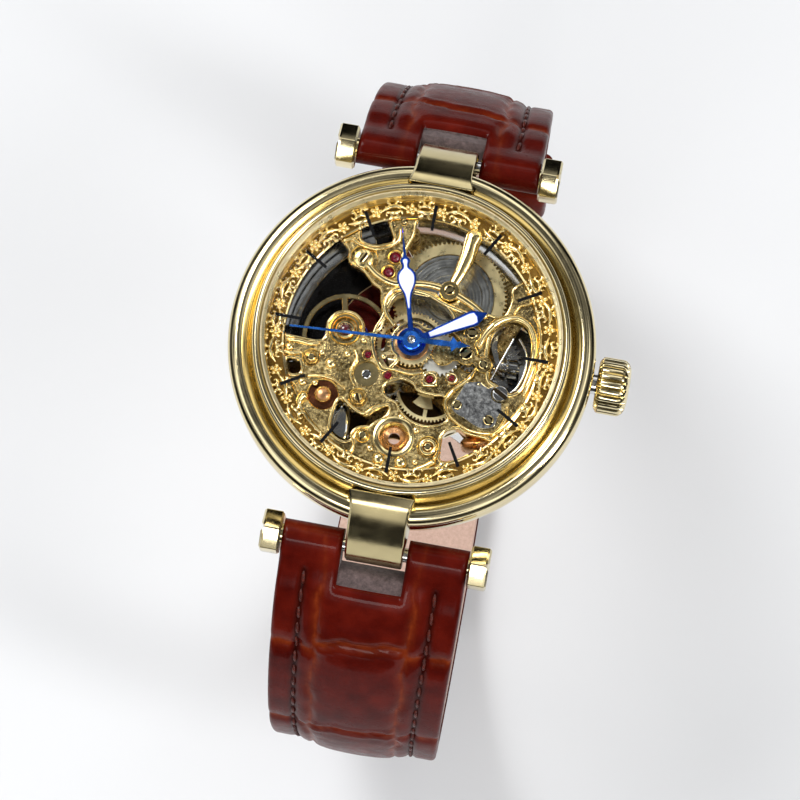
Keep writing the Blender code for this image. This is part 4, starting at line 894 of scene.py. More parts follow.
def emboss(side, s, x):
    """Crocodile embossing: height above the base in mm, and how much a place is a rubbed ridge."""
    seed = 1.0 if side > 0 else 4.0
    col = 5.0 + 0.35 * wobble(seed, s * 0.35) - 0.012 * s
    fade = np.clip((s - 2.5) / 3.0, 0, 1)
    d_col = np.abs(np.abs(x) - col)
    first, pitch = (7.2, 11.5) if side > 0 else (10.6, 15.0)
    k = np.arange(-1, 14)
    jig = 0.8 * np.sin(k * 2.3 + seed)
    rows = first + pitch * k + jig
    bow = 0.055 * (25 - x ** 2) * (1 + 0.2 * np.sin(seed)) * 0.55 + 0.35 * wobble(seed + 3, x * 0.5) + 0.14 * x
    d_row = np.min(np.abs(s[..., None] + bow[..., None] - 1.2 - rows), axis=-1)
    rows_out = first + pitch * k + jig * 0.7 + 0.9
    left = np.where(x < 0, 1.6, 0.4)
    d_out = np.min(np.abs(s[..., None] + (0.2 * wobble(seed + 1, np.abs(x)))[..., None] - left[..., None] - rows_out),
        axis=-1)
    inner = np.abs(x) < col
    d_line = np.where(inner, d_row, d_out)
    d = np.minimum(d_line, d_col * 1.45)
    pillow = 0.30 * (1 - np.exp(-(d / 0.55) ** 2)) + 0.16 * (1 - np.exp(-(d / 1.6) ** 2))
    lip_up = 0.17 * np.exp(-((d_line - 0.75) / 0.4) ** 2) * inner
    ridge = np.exp(-(d / 0.3) ** 2) * 0.75 + 0.14 * np.exp(-((d - 0.6) / 0.4) ** 2)
    return (pillow + lip_up) * fade, np.clip(ridge * (0.35 + 0.65 * fade), 0, 1)


def roll_height(s):
    """Half the thickness of the leather that is rolled over the T-bar."""
    return ROLL_R * np.sqrt(np.clip(1 - (np.clip(s, -ROLL, 0) / ROLL_R) ** 2, 0.02, 1))


def strap_top(side, s, x):
    """Height of the leather's face over the middle line, without the rounding of its edges."""
    w = WIDTH[side](s)
    base = THICK[side](s) / 2
    u = np.clip(np.abs(x) / (w / 2 - 2.4), 0, 1)
    crown_up = 0.5 * (1 - u ** 2) ** 1.3 * np.clip((s + 1.0) / 8, 0, 1) * np.clip((95 - s) / 40, 0.35, 1)
    margin = -0.38 * np.clip((np.abs(x) - (w / 2 - 4.4)) / 1.2, 0, 1) * np.clip((s - 1.5) / 3, 0, 1)
    channel = np.exp(-((np.abs(x) - (w / 2 - SEAM_IN)) / 0.36) ** 2) * np.clip((s - 2.4) / 0.8, 0, 1)
    relief, ridge = emboss(side, s, x)
    top = base + crown_up + margin - 0.32 * channel + relief - 0.35
    flat = np.clip((s - 0.2) / 3.6, 0, 1)
    flat = flat * flat * (3 - 2 * flat)
    rolled = np.where(s < ROLL, roll_height(s), ROLL_R)
    # the attribute is set negative in the stitch channel, where the leather is painted as shade
    return rolled * (1 - flat) + top * flat, ridge * (1 - channel) - channel


def grid_body(side, s_list, x_of, top_of, bottom_of, skip=lambda s, x: False):
    """A bent slab on a grid of stations and columns, open where skip says so."""
    X = np.array([x_of(s) for s in s_list])
    rows, n_cols = X.shape
    S = np.repeat(np.array(s_list)[:, None], n_cols, 1)
    top, ridge = top_of(S, X)
    low = bottom_of(S, X)
    y, z, _, _, ny, nz = along(S, side)
    verts = []
    for h in (top, low):
        verts += [tuple(p) for p in np.stack([X, side * (y + ny * h), z + nz * h], -1).reshape(-1, 3)]
    cells = np.array([[not skip((s_list[i] + s_list[i + 1]) / 2, (X[i, j] + X[i, j + 1]) / 2) for j in
        range(n_cols - 1)] for i in range(rows - 1)])
    faces, mat = [], []
    base = rows * n_cols
    for i in range(rows - 1):
        for j in range(n_cols - 1):
            if not cells[i, j]:
                continue
            a, b, c, d = i * n_cols + j, i * n_cols + j + 1, (i + 1) * n_cols + j + 1, (i + 1) * n_cols + j
            faces += [(a, b, c, d), (base + d, base + c, base + b, base + a)]
            mat += [0, 0]
            for di, dj, p, q in ((-1, 0, a, b), (1, 0, c, d), (0, -1, d, a), (0, 1, b, c)):
                ii, jj = i + di, j + dj
                if ii < 0 or jj < 0 or ii >= rows - 1 or jj >= n_cols - 1 or not cells[ii, jj]:
                    faces.append((q, p, base + p, base + q))
                    mat.append(int(0 <= ii < rows - 1 and 0 <= jj < n_cols - 1))      # 1 on the notch's walls
    return (verts, faces, mat), np.concatenate([ridge.ravel(), ridge.ravel() * 0])


def columns():
    """Positions across the strap: close together at its edges, the notch and the grooves."""
    h = FULL_WIDTH / 2
    outer = [h - d for d in (0.0, 0.05, 0.14, 0.28, 0.46, 0.7, 1.0)]
    inner = np.arange(8.3, 3.75, -0.28)
    mid = [3.62, 3.4, 3.1, 2.8, 2.45, 2.1, 1.8, 1.55, 1.3, 1.1, 0.8, 0.4]
    return sorted(set(round(v, 4) for v in outer + [min(v, h - 1.2) for v in inner] + mid))


def x_columns(side):
    base = columns()

    def at(s):
        w = WIDTH[side](s)
        if w < 15.9:            # the tip narrows as a whole
            half = [x * w / FULL_WIDTH for x in base]
        else:                   # elsewhere only the part beside the notch does
            half = [x if x <= 3.62 else 3.62 + (x - 3.62) * (w / 2 - 3.62) / (FULL_WIDTH / 2 - 3.62) for x in base]
        return [-x for x in half[::-1]] + [0.0] + half
    return at


def edge_round(side, s, x, top):
    """Lower the face near the strap's edges, its end and the notch."""
    beside = np.abs(x) - NOTCH_HALF
    ahead = np.where(beside < 0, s - NOTCH, np.hypot(np.maximum(s - NOTCH, 0), beside))
    to_notch = np.where(s < NOTCH, np.where(beside >= 0, beside, 99), ahead)
    d = np.minimum(np.minimum(WIDTH[side](s) / 2 - np.abs(x), to_notch), np.clip(HALVES[side][1] - s, 0, 99))
    d = np.clip(d, 0, EDGE_R)
    return top - (EDGE_R - np.sqrt(np.clip(EDGE_R ** 2 - (EDGE_R - d) ** 2, 0, None)))


def make_strap(side):
    """One half of the strap: leather, lining and stitches."""
    tag, end = HALVES[side]
    body = f"strap_{tag}_body"
    roll = list(np.concatenate([-ROLL * np.cos(np.linspace(0.08, pi / 2, 9)), np.linspace(0.35, NOTCH, 12)]))
    body_s = list(np.arange(NOTCH + 0.3, end - 1.6, 0.42))
    tail = [end - d for d in (1.5, 1.2, 0.9, 0.65, 0.42, 0.25, 0.12, 0.0)]
    if side > 0:
        body_s = [s for s in body_s if abs(s - SLOT_FROM) > 0.15] + [SLOT_FROM]
    s_list = sorted(set(round(float(s), 4) for s in roll + body_s + tail))
    x_at = x_columns(side)

    def skip(s, x):
        return (s < NOTCH and abs(x) < NOTCH_HALF) or (side > 0 and s > SLOT_FROM and abs(x) < SLOT_HALF)

    def top_of(S, X):
        top, ridge = strap_top(side, S, X)
        return edge_round(side, S, X, top), ridge

    def split(S, X):            # where the leather ends and the lining begins
        t = THICK[side](S)
        inner = np.where(S < ROLL, -roll_height(S), -t / 2)
        k = np.clip((S - 0.2) / 3.6, 0, 1)
        return inner * (1 - k) + (-t / 2 + 0.42) * k

    shape, ridge = grid_body(side, s_list, x_at, top_of, split, skip)
    piece("strap_leather_" + tag, body, LEATHER_KIND, [shape], "strap_" + tag, ridge)

    # lining: pale calf under the leather, a little narrower
    low_s = [s for s in s_list if s >= LINING_FROM]

    def low_x(s):
        w = WIDTH[side](s)
        return [x * (w - 0.3) / w for x in x_at(s)]

    def low_top(S, X):
        return split(S, X) - 0.004, X * 0

    def low_low(S, X):
        t, r = THICK[side](S), LINING_EDGE_R
        d = np.clip(np.minimum(WIDTH[side](S) / 2 - 0.15 - np.abs(X), np.minimum(end - S, S - LINING_FROM)), 0, r)
        grow = np.clip((S - LINING_FROM) / 3, 0, 1)
        return -t / 2 - 0.02 + r - np.sqrt(np.clip(r * r - (r - d) ** 2, 0, None)) * (0.3 + 0.7 * grow)

    shape, flat = grid_body(side, low_s, low_x, low_top, low_low, skip)
    piece("strap_lining_" + tag, body, ("leather", [LINING], 65, False), [remat(shape, 0)], None, flat)

    # stitches, sunk in their channel, each a waxed double cord that rises and dips
    stitches = []
    s = 3.3
    while s < end - (9.5 if side > 0 else 4.2):
        for sx in (-1, 1):
            path, rad = [], []
            for k in range(9):
                t = k / 8
                ss = s + STITCH * t
                x = sx * (float(WIDTH[side](ss)) / 2 - SEAM_IN) + 0.13 * (t - 0.5)
                top, _ = strap_top(side, np.array([ss]), np.array([x]))
                h = float(top[0]) - 0.12 + 0.24 * sin(pi * t) ** 0.6
                y, z, _, _, ny, nz = (float(q[0]) for q in along([ss], side))
                path.append((x, side * (y + ny * h), z + nz * h))
                rad.append(0.21 * (0.45 + 0.55 * sin(pi * t) ** 0.5))
            stitches.append(tube(path, rad, 7))
        s += STITCH_PITCH
    piece("strap_stitches_" + tag, body, ("thread", [THREAD], 70, True), stitches)


def notch_floor(side):
    """The raw inner face that shows in the notch beyond the lug."""
    def top_of(S, X):
        dip = 0.5 * np.clip((2.9 - S) / 0.4, 0, 1)
        return THICK[side](S) / 2 - 0.62 - dip + 0.06 * wobble(2, X * 1.3 + S), X * 0

    cols = np.linspace(-3.45, 3.45, 15)
    shape, _ = grid_body(side, np.linspace(2.5, NOTCH + 0.15, 9), lambda s: cols, top_of, lambda S, X: -THICK[side](S)
        / 2 + 0.5)
    tag = HALVES[side][0]
    piece("notch_floor_" + tag, f"strap_{tag}_body", ("lining", [SUEDE], 50, True), [remat(shape, 0)])


for side in (1, -1):
    make_strap(side)
    notch_floor(side)


def keeper(name, body, s, spare, node_name):
    """A leather loop round the buckle half, with rounded edges and a stitched joint underneath."""
    y, z, ty, tz, ny, nz = (float(q[0]) for q in along([s]))
    w, t, wall, wide = 8.5 + 0.5, 1.75, 0.8, 4.2
    turn = Matrix(((1, 0, 0, 0), (0, ny, -ty, y), (0, nz, -tz, z), (0, 0, 0, 1)))
    out = rounded([(-w - wall, -t - wall), (w + wall, -t - wall), (w + wall, t + spare + wall),
        (-w - wall, t + spare + wall)], 1.5, 8)
    inn = rounded([(-w, -t), (w, -t), (w, t + spare), (-w, t + spare)], 0.9, 8)
    loop = placed(plate([out], [inn], -wide / 2, wide / 2, 0.28, 0.28, (0, 0, 0), True), turn)
    piece(name, body, ("leather", [LEATHER], 65, False), [loop], node_name, np.full(len(loop[0]), 0.12))
    cords = []
    for k in range(2):
        at = (-1.2 + 2.4 * k)
        path = [(-w + 2.0 + 2 * (w - 2.0) * j / 40, t + spare + wall + 0.02, at) for j in range(41)]
        for i in range(0, 40, 4):
            seg = path[i:i + 4]
            cords.append(tube([(x, u + 0.05 * sin(pi * q / 3), h) for q, (x, u, h) in enumerate(seg)],
                [0.09, 0.14, 0.14, 0.09], 6))
    piece(name + "_stitches", body, ("thread", [THREAD], 70, True), [placed(c, turn) for c in cords])


keeper("keeper_by_buckle", "strap_12_body", 57.5, 2.0, "keeper_fixed")
keeper("keeper_sliding", "loose_keeper", 47.5, 2.0, "keeper_loose")

y, z, ty, tz, ny, nz = (float(q[0]) for q in along([BUCKLE_AT]))
turn = Matrix(((1, 0, 0, 0), (0, ty, ny, y), (0, tz, nz, z), (0, 0, 0, 1)))
HW = 8.5


def buckle_shape():
    """A rounded D frame, swept as a soft rectangle section."""
    line = spline([(-HW - 1.2, -1.0), (-HW - 1.2, 3.0), (-HW - 1.2, 7.0), (-HW - 0.3, 9.8), (-HW + 1.2, 10.2),
        (-4, 10.2), (0, 10.2), (4, 10.2), (HW - 1.2, 10.2), (HW + 0.3, 9.8), (HW + 1.2, 7.0), (HW + 1.2, 3.0),
        (HW + 1.2, -1.0)], False, 6)
    verts = []
    section = rounded(pts("-0.75 -0.85, 0.75 -0.85, 0.75 0.85, -0.75 0.85"), 0.45, 4)
    for i, p in enumerate(line):
        a, b = line[max(i - 1, 0)], line[min(i + 1, len(line) - 1)]
        t = atan2(b[1] - a[1], b[0] - a[0])
        wide = 1.0 + 0.3 * min(max((p[1] - 6) / 4, 0), 1)
        for u, h in section:
            u = u * wide
            verts.append((p[0] - sin(t) * u, p[1] + cos(t) * u, h))
    return swept(verts, len(section))


piece("pin_buckle", "buckle", ("case_gold", [CASE], 35, True), [placed(buckle_shape(), turn)], "buckle_frame")
piece("buckle_bar", "strap_12_body", STEEL_TURNED, [placed(along_x(lathe(pts(
    "0 -10.2, 0.4 -10.2, 0.4 -9.6, 0.6 -9.5, 0.6 9.5, 0.4 9.6, 0.4 10.2, 0 10.2"), 32)),
    Matrix.Translation((0, y, z)))], "buckle_spring_bar")
tongue_side = rounded(pts("-1.25 -1, 1 -1.25, 1.6 0.3, 8.6 0.95, 11.8 0.95, 11.8 1.6, 8.4 1.85, 1.2 1.25, -1.25 1"),
    0.5, 5)
v, f, m = plate([tongue_side], [], -1.0, 1.0, 0.25, 0.25, (0, 0, 0), True)
piece("tongue_pin", "tongue", ("case_gold", [CASE], 30, True), [placed(([(q, a, b) for a, b, q in v], f, m), turn)],
    "buckle_tongue")


# ---- movement: main plate and what is fixed to it ---------------------------------------
TOP = 8.6


def rim_points(a0, a1, n=20, r=13.4):
    return [polar(CENTRE, r, radians(a0 + (a1 - a0) * i / n)) for i in range(n + 1)]


def smooth(points, per=5):
    return ccw(spline(points, True, per))


WINDOW_BALANCE = smooth(rim_points(135, 185) + [(-11.5, -1.3), (-9.2, -1.2), (-9.05, 0.4)] +
    [polar(BALANCE, 2.1, radians(a)) for a in range(165, 5, -20)] + pts(
    "-4.9 0.3, -3.7 0.9, -3.5 2.3, -4 3.8, -4.2 4.9, -5 5.35, -5.8 6.1, -6.7 6.75, -7.5 6.95, -8.1 7.5, "
    "-8.2 8.4, -8.7 9"), 3)
WINDOW_11 = smooth(rim_points(112, 123, 4) + pts("-7 9.9, -5.8 9.6, -4.7 9.9, -3.9 10.4, -4.3 11.4"), 4)
WINDOW_BARREL = smooth(rim_points(40, 96, 24) + pts(
    "-1.75 12.6, -1.75 11.3, -2.1 10.2, -2.5 8.8, -2.35 7.6, -1.9 6.3, -1 5.85, 0.5 5.75, 1.5 5.7") +
    [polar(BARREL, 1.25, radians(a)) for a in range(215, 345, 25)] + pts(
    "4.3 5.6, 5.4 5, 6.8 4.6, 8.4 4.4, 9 5, 9.25 6.2, 9.1 7.4, 9.7 8.2"), 3)
WINDOW_CENTRE = smooth([polar(CENTRE, 3.8, radians(a)) for a in range(150, 240, 14)] + [polar(CENTRE, 2.3, radians(a))
    for a in range(235, 35, -20)] + pts("3.4 2.3, 3.7 3.4, 2.8 4.3, 1.6 4.9, 0 5.05, -1.6 5, -2.5 4.5, -2.9 3.6"), 3)
WINDOW_STEM = smooth(pts(
    "8 0.6, 8.1 2.4, 8.9 3.6, 10.2 4.1, 11.4 3.6, 12.1 2.1, 12.2 0, 11.75 -2.4, 11 -3.3, 10.3 -3.1, 9.2 -2.6, "
    "8.6 -2.2, 8.3 -0.6"))
WINDOW_THIRD = smooth(pts(
    "-1.5 -4.5, -0.3 -3.95, 0.9 -4.3, 1.3 -4.8, 2.1 -5, 3.3 -5.05, 4.2 -5, 4.6 -5.9, 4.9 -7.2, 4 -7.9, "
    "2.6 -8.15, 1.2 -7.8, 0.2 -7, -0.4 -6.3, -1.5 -5.9, -1.9 -5.2"))
WINDOW_7 = smooth(pts(
    "-6.3 -7.3, -5.6 -7.4, -4.7 -8, -3.1 -8.35, -2.3 -7.6, -1.2 -7, -1.4 -7.9, -2.4 -8.8, -3 -9.5, -3.9 -9.9, "
    "-4.4 -10.9, -5.2 -11.2, -6.4 -10.5, -6.6 -9.3"))
WINDOW_5 = smooth(pts(
    "4.8 -9.4, 5.2 -8.5, 6.3 -8.05, 7.2 -8.4, 9.3 -8.6, 9.5 -9.1, 8 -10.3, 6.5 -11.2, 5.2 -11.5, 5 -10.6"))
WINDOW_8 = smooth(pts("-12.3 -3.9, -11.1 -3.9, -10.8 -5, -11.9 -5.2"))
WINDOW_6 = circle((0.0, -10.0), 1.5, 48)
WINDOWS = [WINDOW_BALANCE, WINDOW_11, WINDOW_BARREL, WINDOW_CENTRE, WINDOW_STEM, WINDOW_THIRD, WINDOW_7, WINDOW_5,
    WINDOW_8, WINDOW_6]
POCKETS = [circle(CENTRE, 2.75, 60), circle(MINUTE, 2.5, 48), circle(SETTING, 1.15, 32)]
BORES = [circle(c, 0.42, 20) for c in (THIRD, ESCAPE, PALLET)] + [circle(BALANCE, 0.55, 24), circle(CENTRE, 0.47, 24)]
SINKS = [((-6.5, 7.9), 1.4), ((-4.0, -4.0), 1.3), ((-8.0, -6.9), 1.55), (BALANCE, 1.62), ((-3.3, 8.6), 0.72),
    ((-3.7, 6.95), 0.7), ((-9.9, -3.3), 0.85), ((3.6, -10.4), 1.05), ((-4.4, -6.6), 0.9), ((-3.2, -10.4), 0.7)]
SINK_Z = 8.2
sink_cuts = [circle(c, r, 40) for c, r in SINKS]
OUTSIDE = [arc_band(CENTRE, 13.1, 17, a, a + 180, 60) for a in (0, 180)]
disc = [circle(CENTRE, 13.1, 160)]
piece("plate_of_movement", "case", GILT, [
    plate(disc, WINDOWS + BORES, 7.0, 7.6, 0, 0.08),
    plate(disc, WINDOWS + BORES + POCKETS, 7.6, SINK_Z, 0),
    plate(disc, WINDOWS + BORES + POCKETS + sink_cuts, SINK_Z, TOP, 0.1),
    lathe(pts("0 7.6, 0.22 7.6, 0.22 7.9, 0.15 7.95, 0 7.95"), 20, MINUTE),
    lathe(pts("0 7.6, 0.3 7.6, 0.3 7.9, 0.22 7.95, 0 7.95"), 20, SETTING)], "main_plate")


def bead_line(points, widths, z0, z1, per=6):
    """A raised polished rib of round section along a line, with rounded ends."""
    line = spline([(*p, w / 2) for p, w in zip(points, widths)], False, per)
    path, radius = [(x, y, z0) for x, y, _ in line], [r for _, _, r in line]
    for at, nxt in ((0, 1), (-1, -2)):
        (x, y, _), r = path[at], radius[at]
        t = angle(path[nxt], path[at])
        caps = [((*polar((x, y), r * out, t), z0), r * part) for out, part in ((0.5, 0.85), (0.85, 0.5), (1.0, 0.1))]
        for p, part in caps:
            path.insert(0, p) if at == 0 else path.append(p)
            radius.insert(0, part) if at == 0 else radius.append(part)
    return tube(path, radius, 12, 1, squash=(z1 - z0) * 2 * len(widths) / sum(widths))


def edging(window, width, z1, back, soft=0.1):
    """A raised polished border round a window, set back from its edge."""
    inner = inset(window, -back) if back else window
    return plate([inset(window, -back - width)], [inner] + OUTSIDE, TOP - 0.05, z1, soft, mats=(1, 1, 1),
        round_edge=True)


ribs = [
    edging(WINDOW_CENTRE, 0.34, 8.72, 0.05),
    edging(WINDOW_STEM, 0.4, 8.8, 0.1, 0.16),
    edging(WINDOW_THIRD, 0.22, 8.7, 0.05, 0.08),
    edging(WINDOW_7, 0.25, 8.72, 0.08, 0.09),
    edging(WINDOW_5, 0.26, 8.74, 0.06, 0.1),
    edging(WINDOW_8, 0.25, 8.7, 0.05, 0.08),
    edging(WINDOW_BALANCE, 0.26, 8.72, 0.06, 0.1),
    edging(WINDOW_11, 0.25, 8.72, 0.06, 0.1),
    edging(WINDOW_BARREL, 0.24, 8.7, 0.05, 0.1)]
ribs += [bead_line(p, w, TOP - 0.05, z) for p, w, z in (
    # the double contour between the barrel and the centre wheel
    (pts("-2.2 1.6, -3.1 2.6, -3.45 3.8, -3 5, -2 5.45, 0.5 5.42, 2.3 4.75, 4 4.3, 5.4 4"), [0.5] * 9, 8.85),
    # the kidney frame of the keyless work, and the ribs outside it
    (pts("6.9 0.9, 7.2 2, 7.9 3.2, 8.8 4, 10.2 4.55, 11.5 4.1, 12.3 3, 12.6 1.5, 12.6 0.2"),
    [0.5, 0.8, 1.1, 0.9, 0.6, 0.5, 0.5, 0.5, 0.4], 9.0), (pts("11.9 4.9, 12.5 4.2, 12.95 3, 13 1.6, 12.85 0.4"),
    [0.3, 0.4, 0.42, 0.4, 0.3], 8.9), (pts("12.9 -0.2, 12.75 -1.3, 12.45 -2.5, 12.3 -3.3"), [0.5, 0.75, 0.7, 0.5],
    8.95), (pts("12.3 -4.4, 12 -5.3, 11.5 -6.2, 10.8 -7.1, 9.9 -8.1"), [0.4, 0.55, 0.55, 0.5, 0.35], 8.9), (pts(
    "10.9 -4.9, 10.9 -6.2, 10.3 -7.5, 9.2 -8, 7.4 -7.95, 5.7 -7.2, 4.9 -6.4, 4.5 -5.5, 4.9 -4.4, 5.6 -3.6, "
    "6.5 -2.6, 6.9 -1.6"), [0.3, 0.4, 0.42, 0.4, 0.4, 0.4, 0.5, 0.55, 0.55, 0.5, 0.5, 0.35], 8.95),
    # the long rib at 7 to 8
    (pts("-9.9 -7.5, -10.2 -8.3, -9.3 -9.5, -7.7 -10.8, -6.1 -11.8, -4.8 -12.5, -4.1 -12.3, -3.9 -11.5, "
    "-4.35 -10.5, -3.9 -9.75, -2.9 -9.4"), [1.2, 0.8, 0.5, 0.45, 0.45, 0.45, 0.4, 0.35, 0.35, 0.35, 0.3], 8.95), (pts(
    "-5.9 -6.9, -4.7 -7.75, -3.5 -8.15, -2.5 -7.3, -1.4 -6.9"), [0.35, 0.4, 0.4, 0.4, 0.3], 8.85), (pts(
    "-9.8 -5.3, -8.6 -5.05, -7.2 -5.2, -5.9 -5.9"), [0.3, 0.4, 0.4, 0.3], 8.85), (pts(
    "-5.6 -1.8, -5.2 -2.6, -5.5 -3.4, -5.6 -4.4, -5.1 -5.3"), [0.3, 0.45, 0.4, 0.35, 0.25], 8.85), (pts(
    "-2.9 -2.6, -2.4 -3, -1.2 -3.05, 0.4 -3.2, 1.5 -2.9"), [0.25, 0.35, 0.35, 0.35, 0.3], 8.8),
    ([(4.4, -11.9), (3.6, -12.5), (2.8, -12.9)], [0.7, 0.6, 0.4], 8.95), ([(4.75, -9.2), (4.75, -10.6), (4.5, -11.5)],
    [0.35, 0.45, 0.5], 8.95), (pts(
    "-8.8 9.4, -8 9.7, -7.2 9.35, -5.8 9.1, -4.7 9.35, -3.8 9.85, -3.2 10.6, -3.3 11.6"),
    [0.5, 0.45, 0.4, 0.35, 0.35, 0.4, 0.45, 0.35], 8.9), (pts("9.9 4.9, 10.3 5.8, 11.2 6.2, 11.5 7, 10.6 7.5"),
    [0.25, 0.3, 0.3, 0.3, 0.2], 8.82), (pts("-12.5 -1.9, -11.4 -1.8, -10.3 -1.9, -9.4 -1.75"), [0.5, 0.6, 0.5, 0.4],
    8.9), ([(-12.9, -3.2), (-11.8, -3.2), (-11.0, -3.0)], [0.4, 0.5, 0.35], 8.9), ([(-11.9, -5.9), (-11.0, -6.3),
    (-10.6, -7.0)], [0.4, 0.4, 0.3], 8.85))]
piece("plate_ribs", "case", ("plate_gold", [PLATE, PLATE_EDGE], 50, False), ribs)

# bosses, collars, sinks' floors and balls that stand on the plate
GOLD_BALLS = [((-4.9, -0.6), 0.3), ((-10.3, -6.0), 0.4), ((-7.8, -3.6), 0.55), ((1.15, -12.5), 0.62),
    ((-1.15, -12.5), 0.62), ((5.4, -12.0), 0.4), ((-2.6, -1.9), 0.28), ((-12.3, -2.6), 0.4), ((-11.9, 10.0), 0.3),
    ((7.6, -3.1), 0.3), ((-6.3, -2.3), 0.35), ((-8.9, -2.6), 0.3), ((0.3, -7.8), 0.3), ((2.1, -8.9), 0.35),
    ((-2.2, -11.6), 0.35), ((2.6, -12.2), 0.3), ((-9.0, -5.9), 0.3)]
studs = []
for c, r in GOLD_BALLS:
    studs.append(lathe([(r, TOP - 0.05), (r, TOP + 0.1)] + [(r * cos(a), TOP + 0.1 + r * 0.6 * sin(a)) for a in
        (0.3, 0.6, 0.9, 1.2)] + [(0, TOP + 0.1 + r * 0.6), (0, TOP - 0.05)], 32, c))
BOSSES = [((-6.5, 7.9), 0.98, 0.62, 0.55), ((2.85, 6.1), 0.95, 0.55, 0.5), ((-9.9, -3.3), 0.7, 0.42, 0.5),
    ((-4.4, -6.6), 0.75, 0.45, 0.5), ((-3.2, -10.4), 0.72, 0.42, 0.5), ((3.6, -10.4), 0.9, 0.5, 0.5),
    ((-8.0, -6.9), 0.85, 0.6, 0.5), ((4.7, -2.9), 0.68, 0.35, 0.3), ((-3.1, 12.5), 0.42, 0.25, 0.3),
    ((-4.2, 12.0), 0.45, 0.28, 0.25), ((0.0, -10.0), 2.15, 1.52, 0.5), ((-3.3, 8.6), 0.7, 0.5, 0.35),
    ((-3.7, 6.95), 0.66, 0.46, 0.3), (PALLET, 0.6, 0.4, 0.25), (ESCAPE, 0.6, 0.4, 0.25), ((5.7, -0.1), 1.2, 0.85, 0.45)]
for c, r, hole, rise in BOSSES:
    base = SINK_Z if any(hypot(c[0] - s[0], c[1] - s[1]) < 0.5 for s, _ in SINKS) else TOP - 0.05
    z1 = max(base, TOP - 0.05) + rise * 0.55
    studs.append(lathe([(hole, base), (r, base), (r, z1 - 0.12), (r - 0.03, z1 - 0.05), (r * 0.9, z1),
        (hole + (r - hole) * 0.45, z1), (hole + 0.05, z1 - 0.08), (hole, z1 - 0.2)], 56, c))
studs.append(lathe([(1.2, SINK_Z), (1.6, SINK_Z), (1.6, 8.7), (1.52, 8.82), (1.3, 8.82), (1.2, 8.6)], 64, BALANCE))
studs.append(lathe([(0.62, SINK_Z), (1.0, SINK_Z), (1.0, 8.66), (0.92, 8.76), (0.72, 8.74), (0.62, 8.6)], 56,
    BALANCE))
studs.append(lathe(pts("1.25 7.6, 1.52 7.6, 1.52 8.5, 1.25 8.2"), 56, (0.0, -10.0)))
square = circle(THIRD, 1.15, 4, pi / 4 + 0.15)
studs.append(plate([rounded(square, 0.35, 5)], [circle(THIRD, 0.5, 28)], TOP - 0.05, 8.95, 0.16, mats=(0, 0, 0),
    round_edge=True))
piece("plate_bosses", "case", ("plate_gold", [PLATE_EDGE], 40, False), studs)

coppers = [remat(sleeve(0, r - 0.02, SINK_Z, SINK_Z + 0.04, 40, c), mat) for (c, r), mat in zip(SINKS[1:3], (2, 1))]
coppers += [
    remat(lathe(pts("0 7, 0.62 7, 0.62 8.62, 0.5 8.7, 0 8.72"), 32, (-8.0, -6.9)), 0),
    lathe(pts("0.62 7.3, 1.22 7.3, 1.22 8.1, 1.05 8.2, 0.62 7.9"), 48, (0.0, -10.0)),
    lathe(pts("0 7.6, 0.5 7.6, 0.5 8.5, 0.4 8.6, 0 8.6"), 32, (3.6, -10.4)),
    remat(bead_line([(7.4, -9.1), (8.4, -8.9), (9.6, -8.5)], [1.5, 1.6, 1.2], 6.3, 7.9), 0)]
piece("copper_bushes", "case", ("plate_gold", [COPPER, COPPER_DARK, PLATE_EDGE], 40, False), coppers)

# the arm over the barrel
arm = [
    bead_line(pts("4.35 12.2, 4.2 11.3, 4 9.9, 3.55 8.2, 3.05 6.8"), [1.9, 1.7, 1.65, 1.25, 1.0], 8.62, 9.0),
    bead_line(pts("3.6 12.3, 3.5 11.2, 3.45 9.9, 3.15 8.2"), [0.32, 0.34, 0.32, 0.24], 8.82, 9.06),
    bead_line(pts("4.9 12.2, 4.6 11.2, 4.5 9.8, 4 8.2"), [0.34, 0.36, 0.34, 0.24], 8.82, 9.06),
    bead_line(pts("2.85 6.1, 4.2 5.6, 5.5 5, 6.9 4.15"), [0.9, 0.85, 0.8, 0.7], 8.62, 9.0),
    bead_line(pts("2.3 6.2, 0.9 6.38, -0.4 6.3, -1.6 6.02, -3.2 5.9, -4.7 6.4, -5.8 7.2, -6.5 7.9"),
        [0.8, 0.75, 0.72, 0.72, 0.75, 0.78, 0.8, 0.8], 8.62, 9.0),
    lathe(pts("0 7.2, 1.05 7.2, 1.05 8.9, 0.95 9.02, 0 9.02"), 56, BARREL),
    lathe(pts("0 8.62, 1 8.62, 1 8.92, 0.9 9.02, 0 9.02"), 56, (-6.5, 7.85))]
piece("arm_over_barrel", "case", ("plate_gold", [PLATE_EDGE], 50, False), [remat(s, 0) for s in arm], "barrel_arm")

# screws, jewels and their collars
SCREWS = [((2.85, 6.1), 9.0, 0.55, 0.5), ((-6.5, 7.9), 9.0, 0.6, 1.1), ((-9.9, -3.3), 8.62, 0.42, 0.3),
    ((-4.4, -6.6), 8.66, 0.46, 2.0), ((-3.2, -10.4), 8.64, 0.42, 1.3), ((3.6, -10.4), 8.6, 0.42, 0.2),
    ((5.7, -0.1), 8.84, 0.72, 0.9), ((7.65, -0.95), 8.82, 0.5, 2.2), ((5.95, 2.1), 8.82, 0.6, 0.1),
    ((-3.1, 12.5), 8.7, 0.26, 0.6), ((-4.2, 12.0), 8.68, 0.28, 1.9)]
gold_screws = [s for c, z, r, t in SCREWS for s in screw(c, z, r, t, 0.24)]
gold_screws += [s for c, r, t in (((5.75, -5.6), 0.5, 0.8), ((9.2, -6.6), 0.55, 2.4)) for s in
    screw(c, 8.86, r, t, 0.2)]
piece("gold_screws", "case", ("wheel_brass", [BRASS_EDGE, SLOT_SHADE], 30, False), gold_screws)
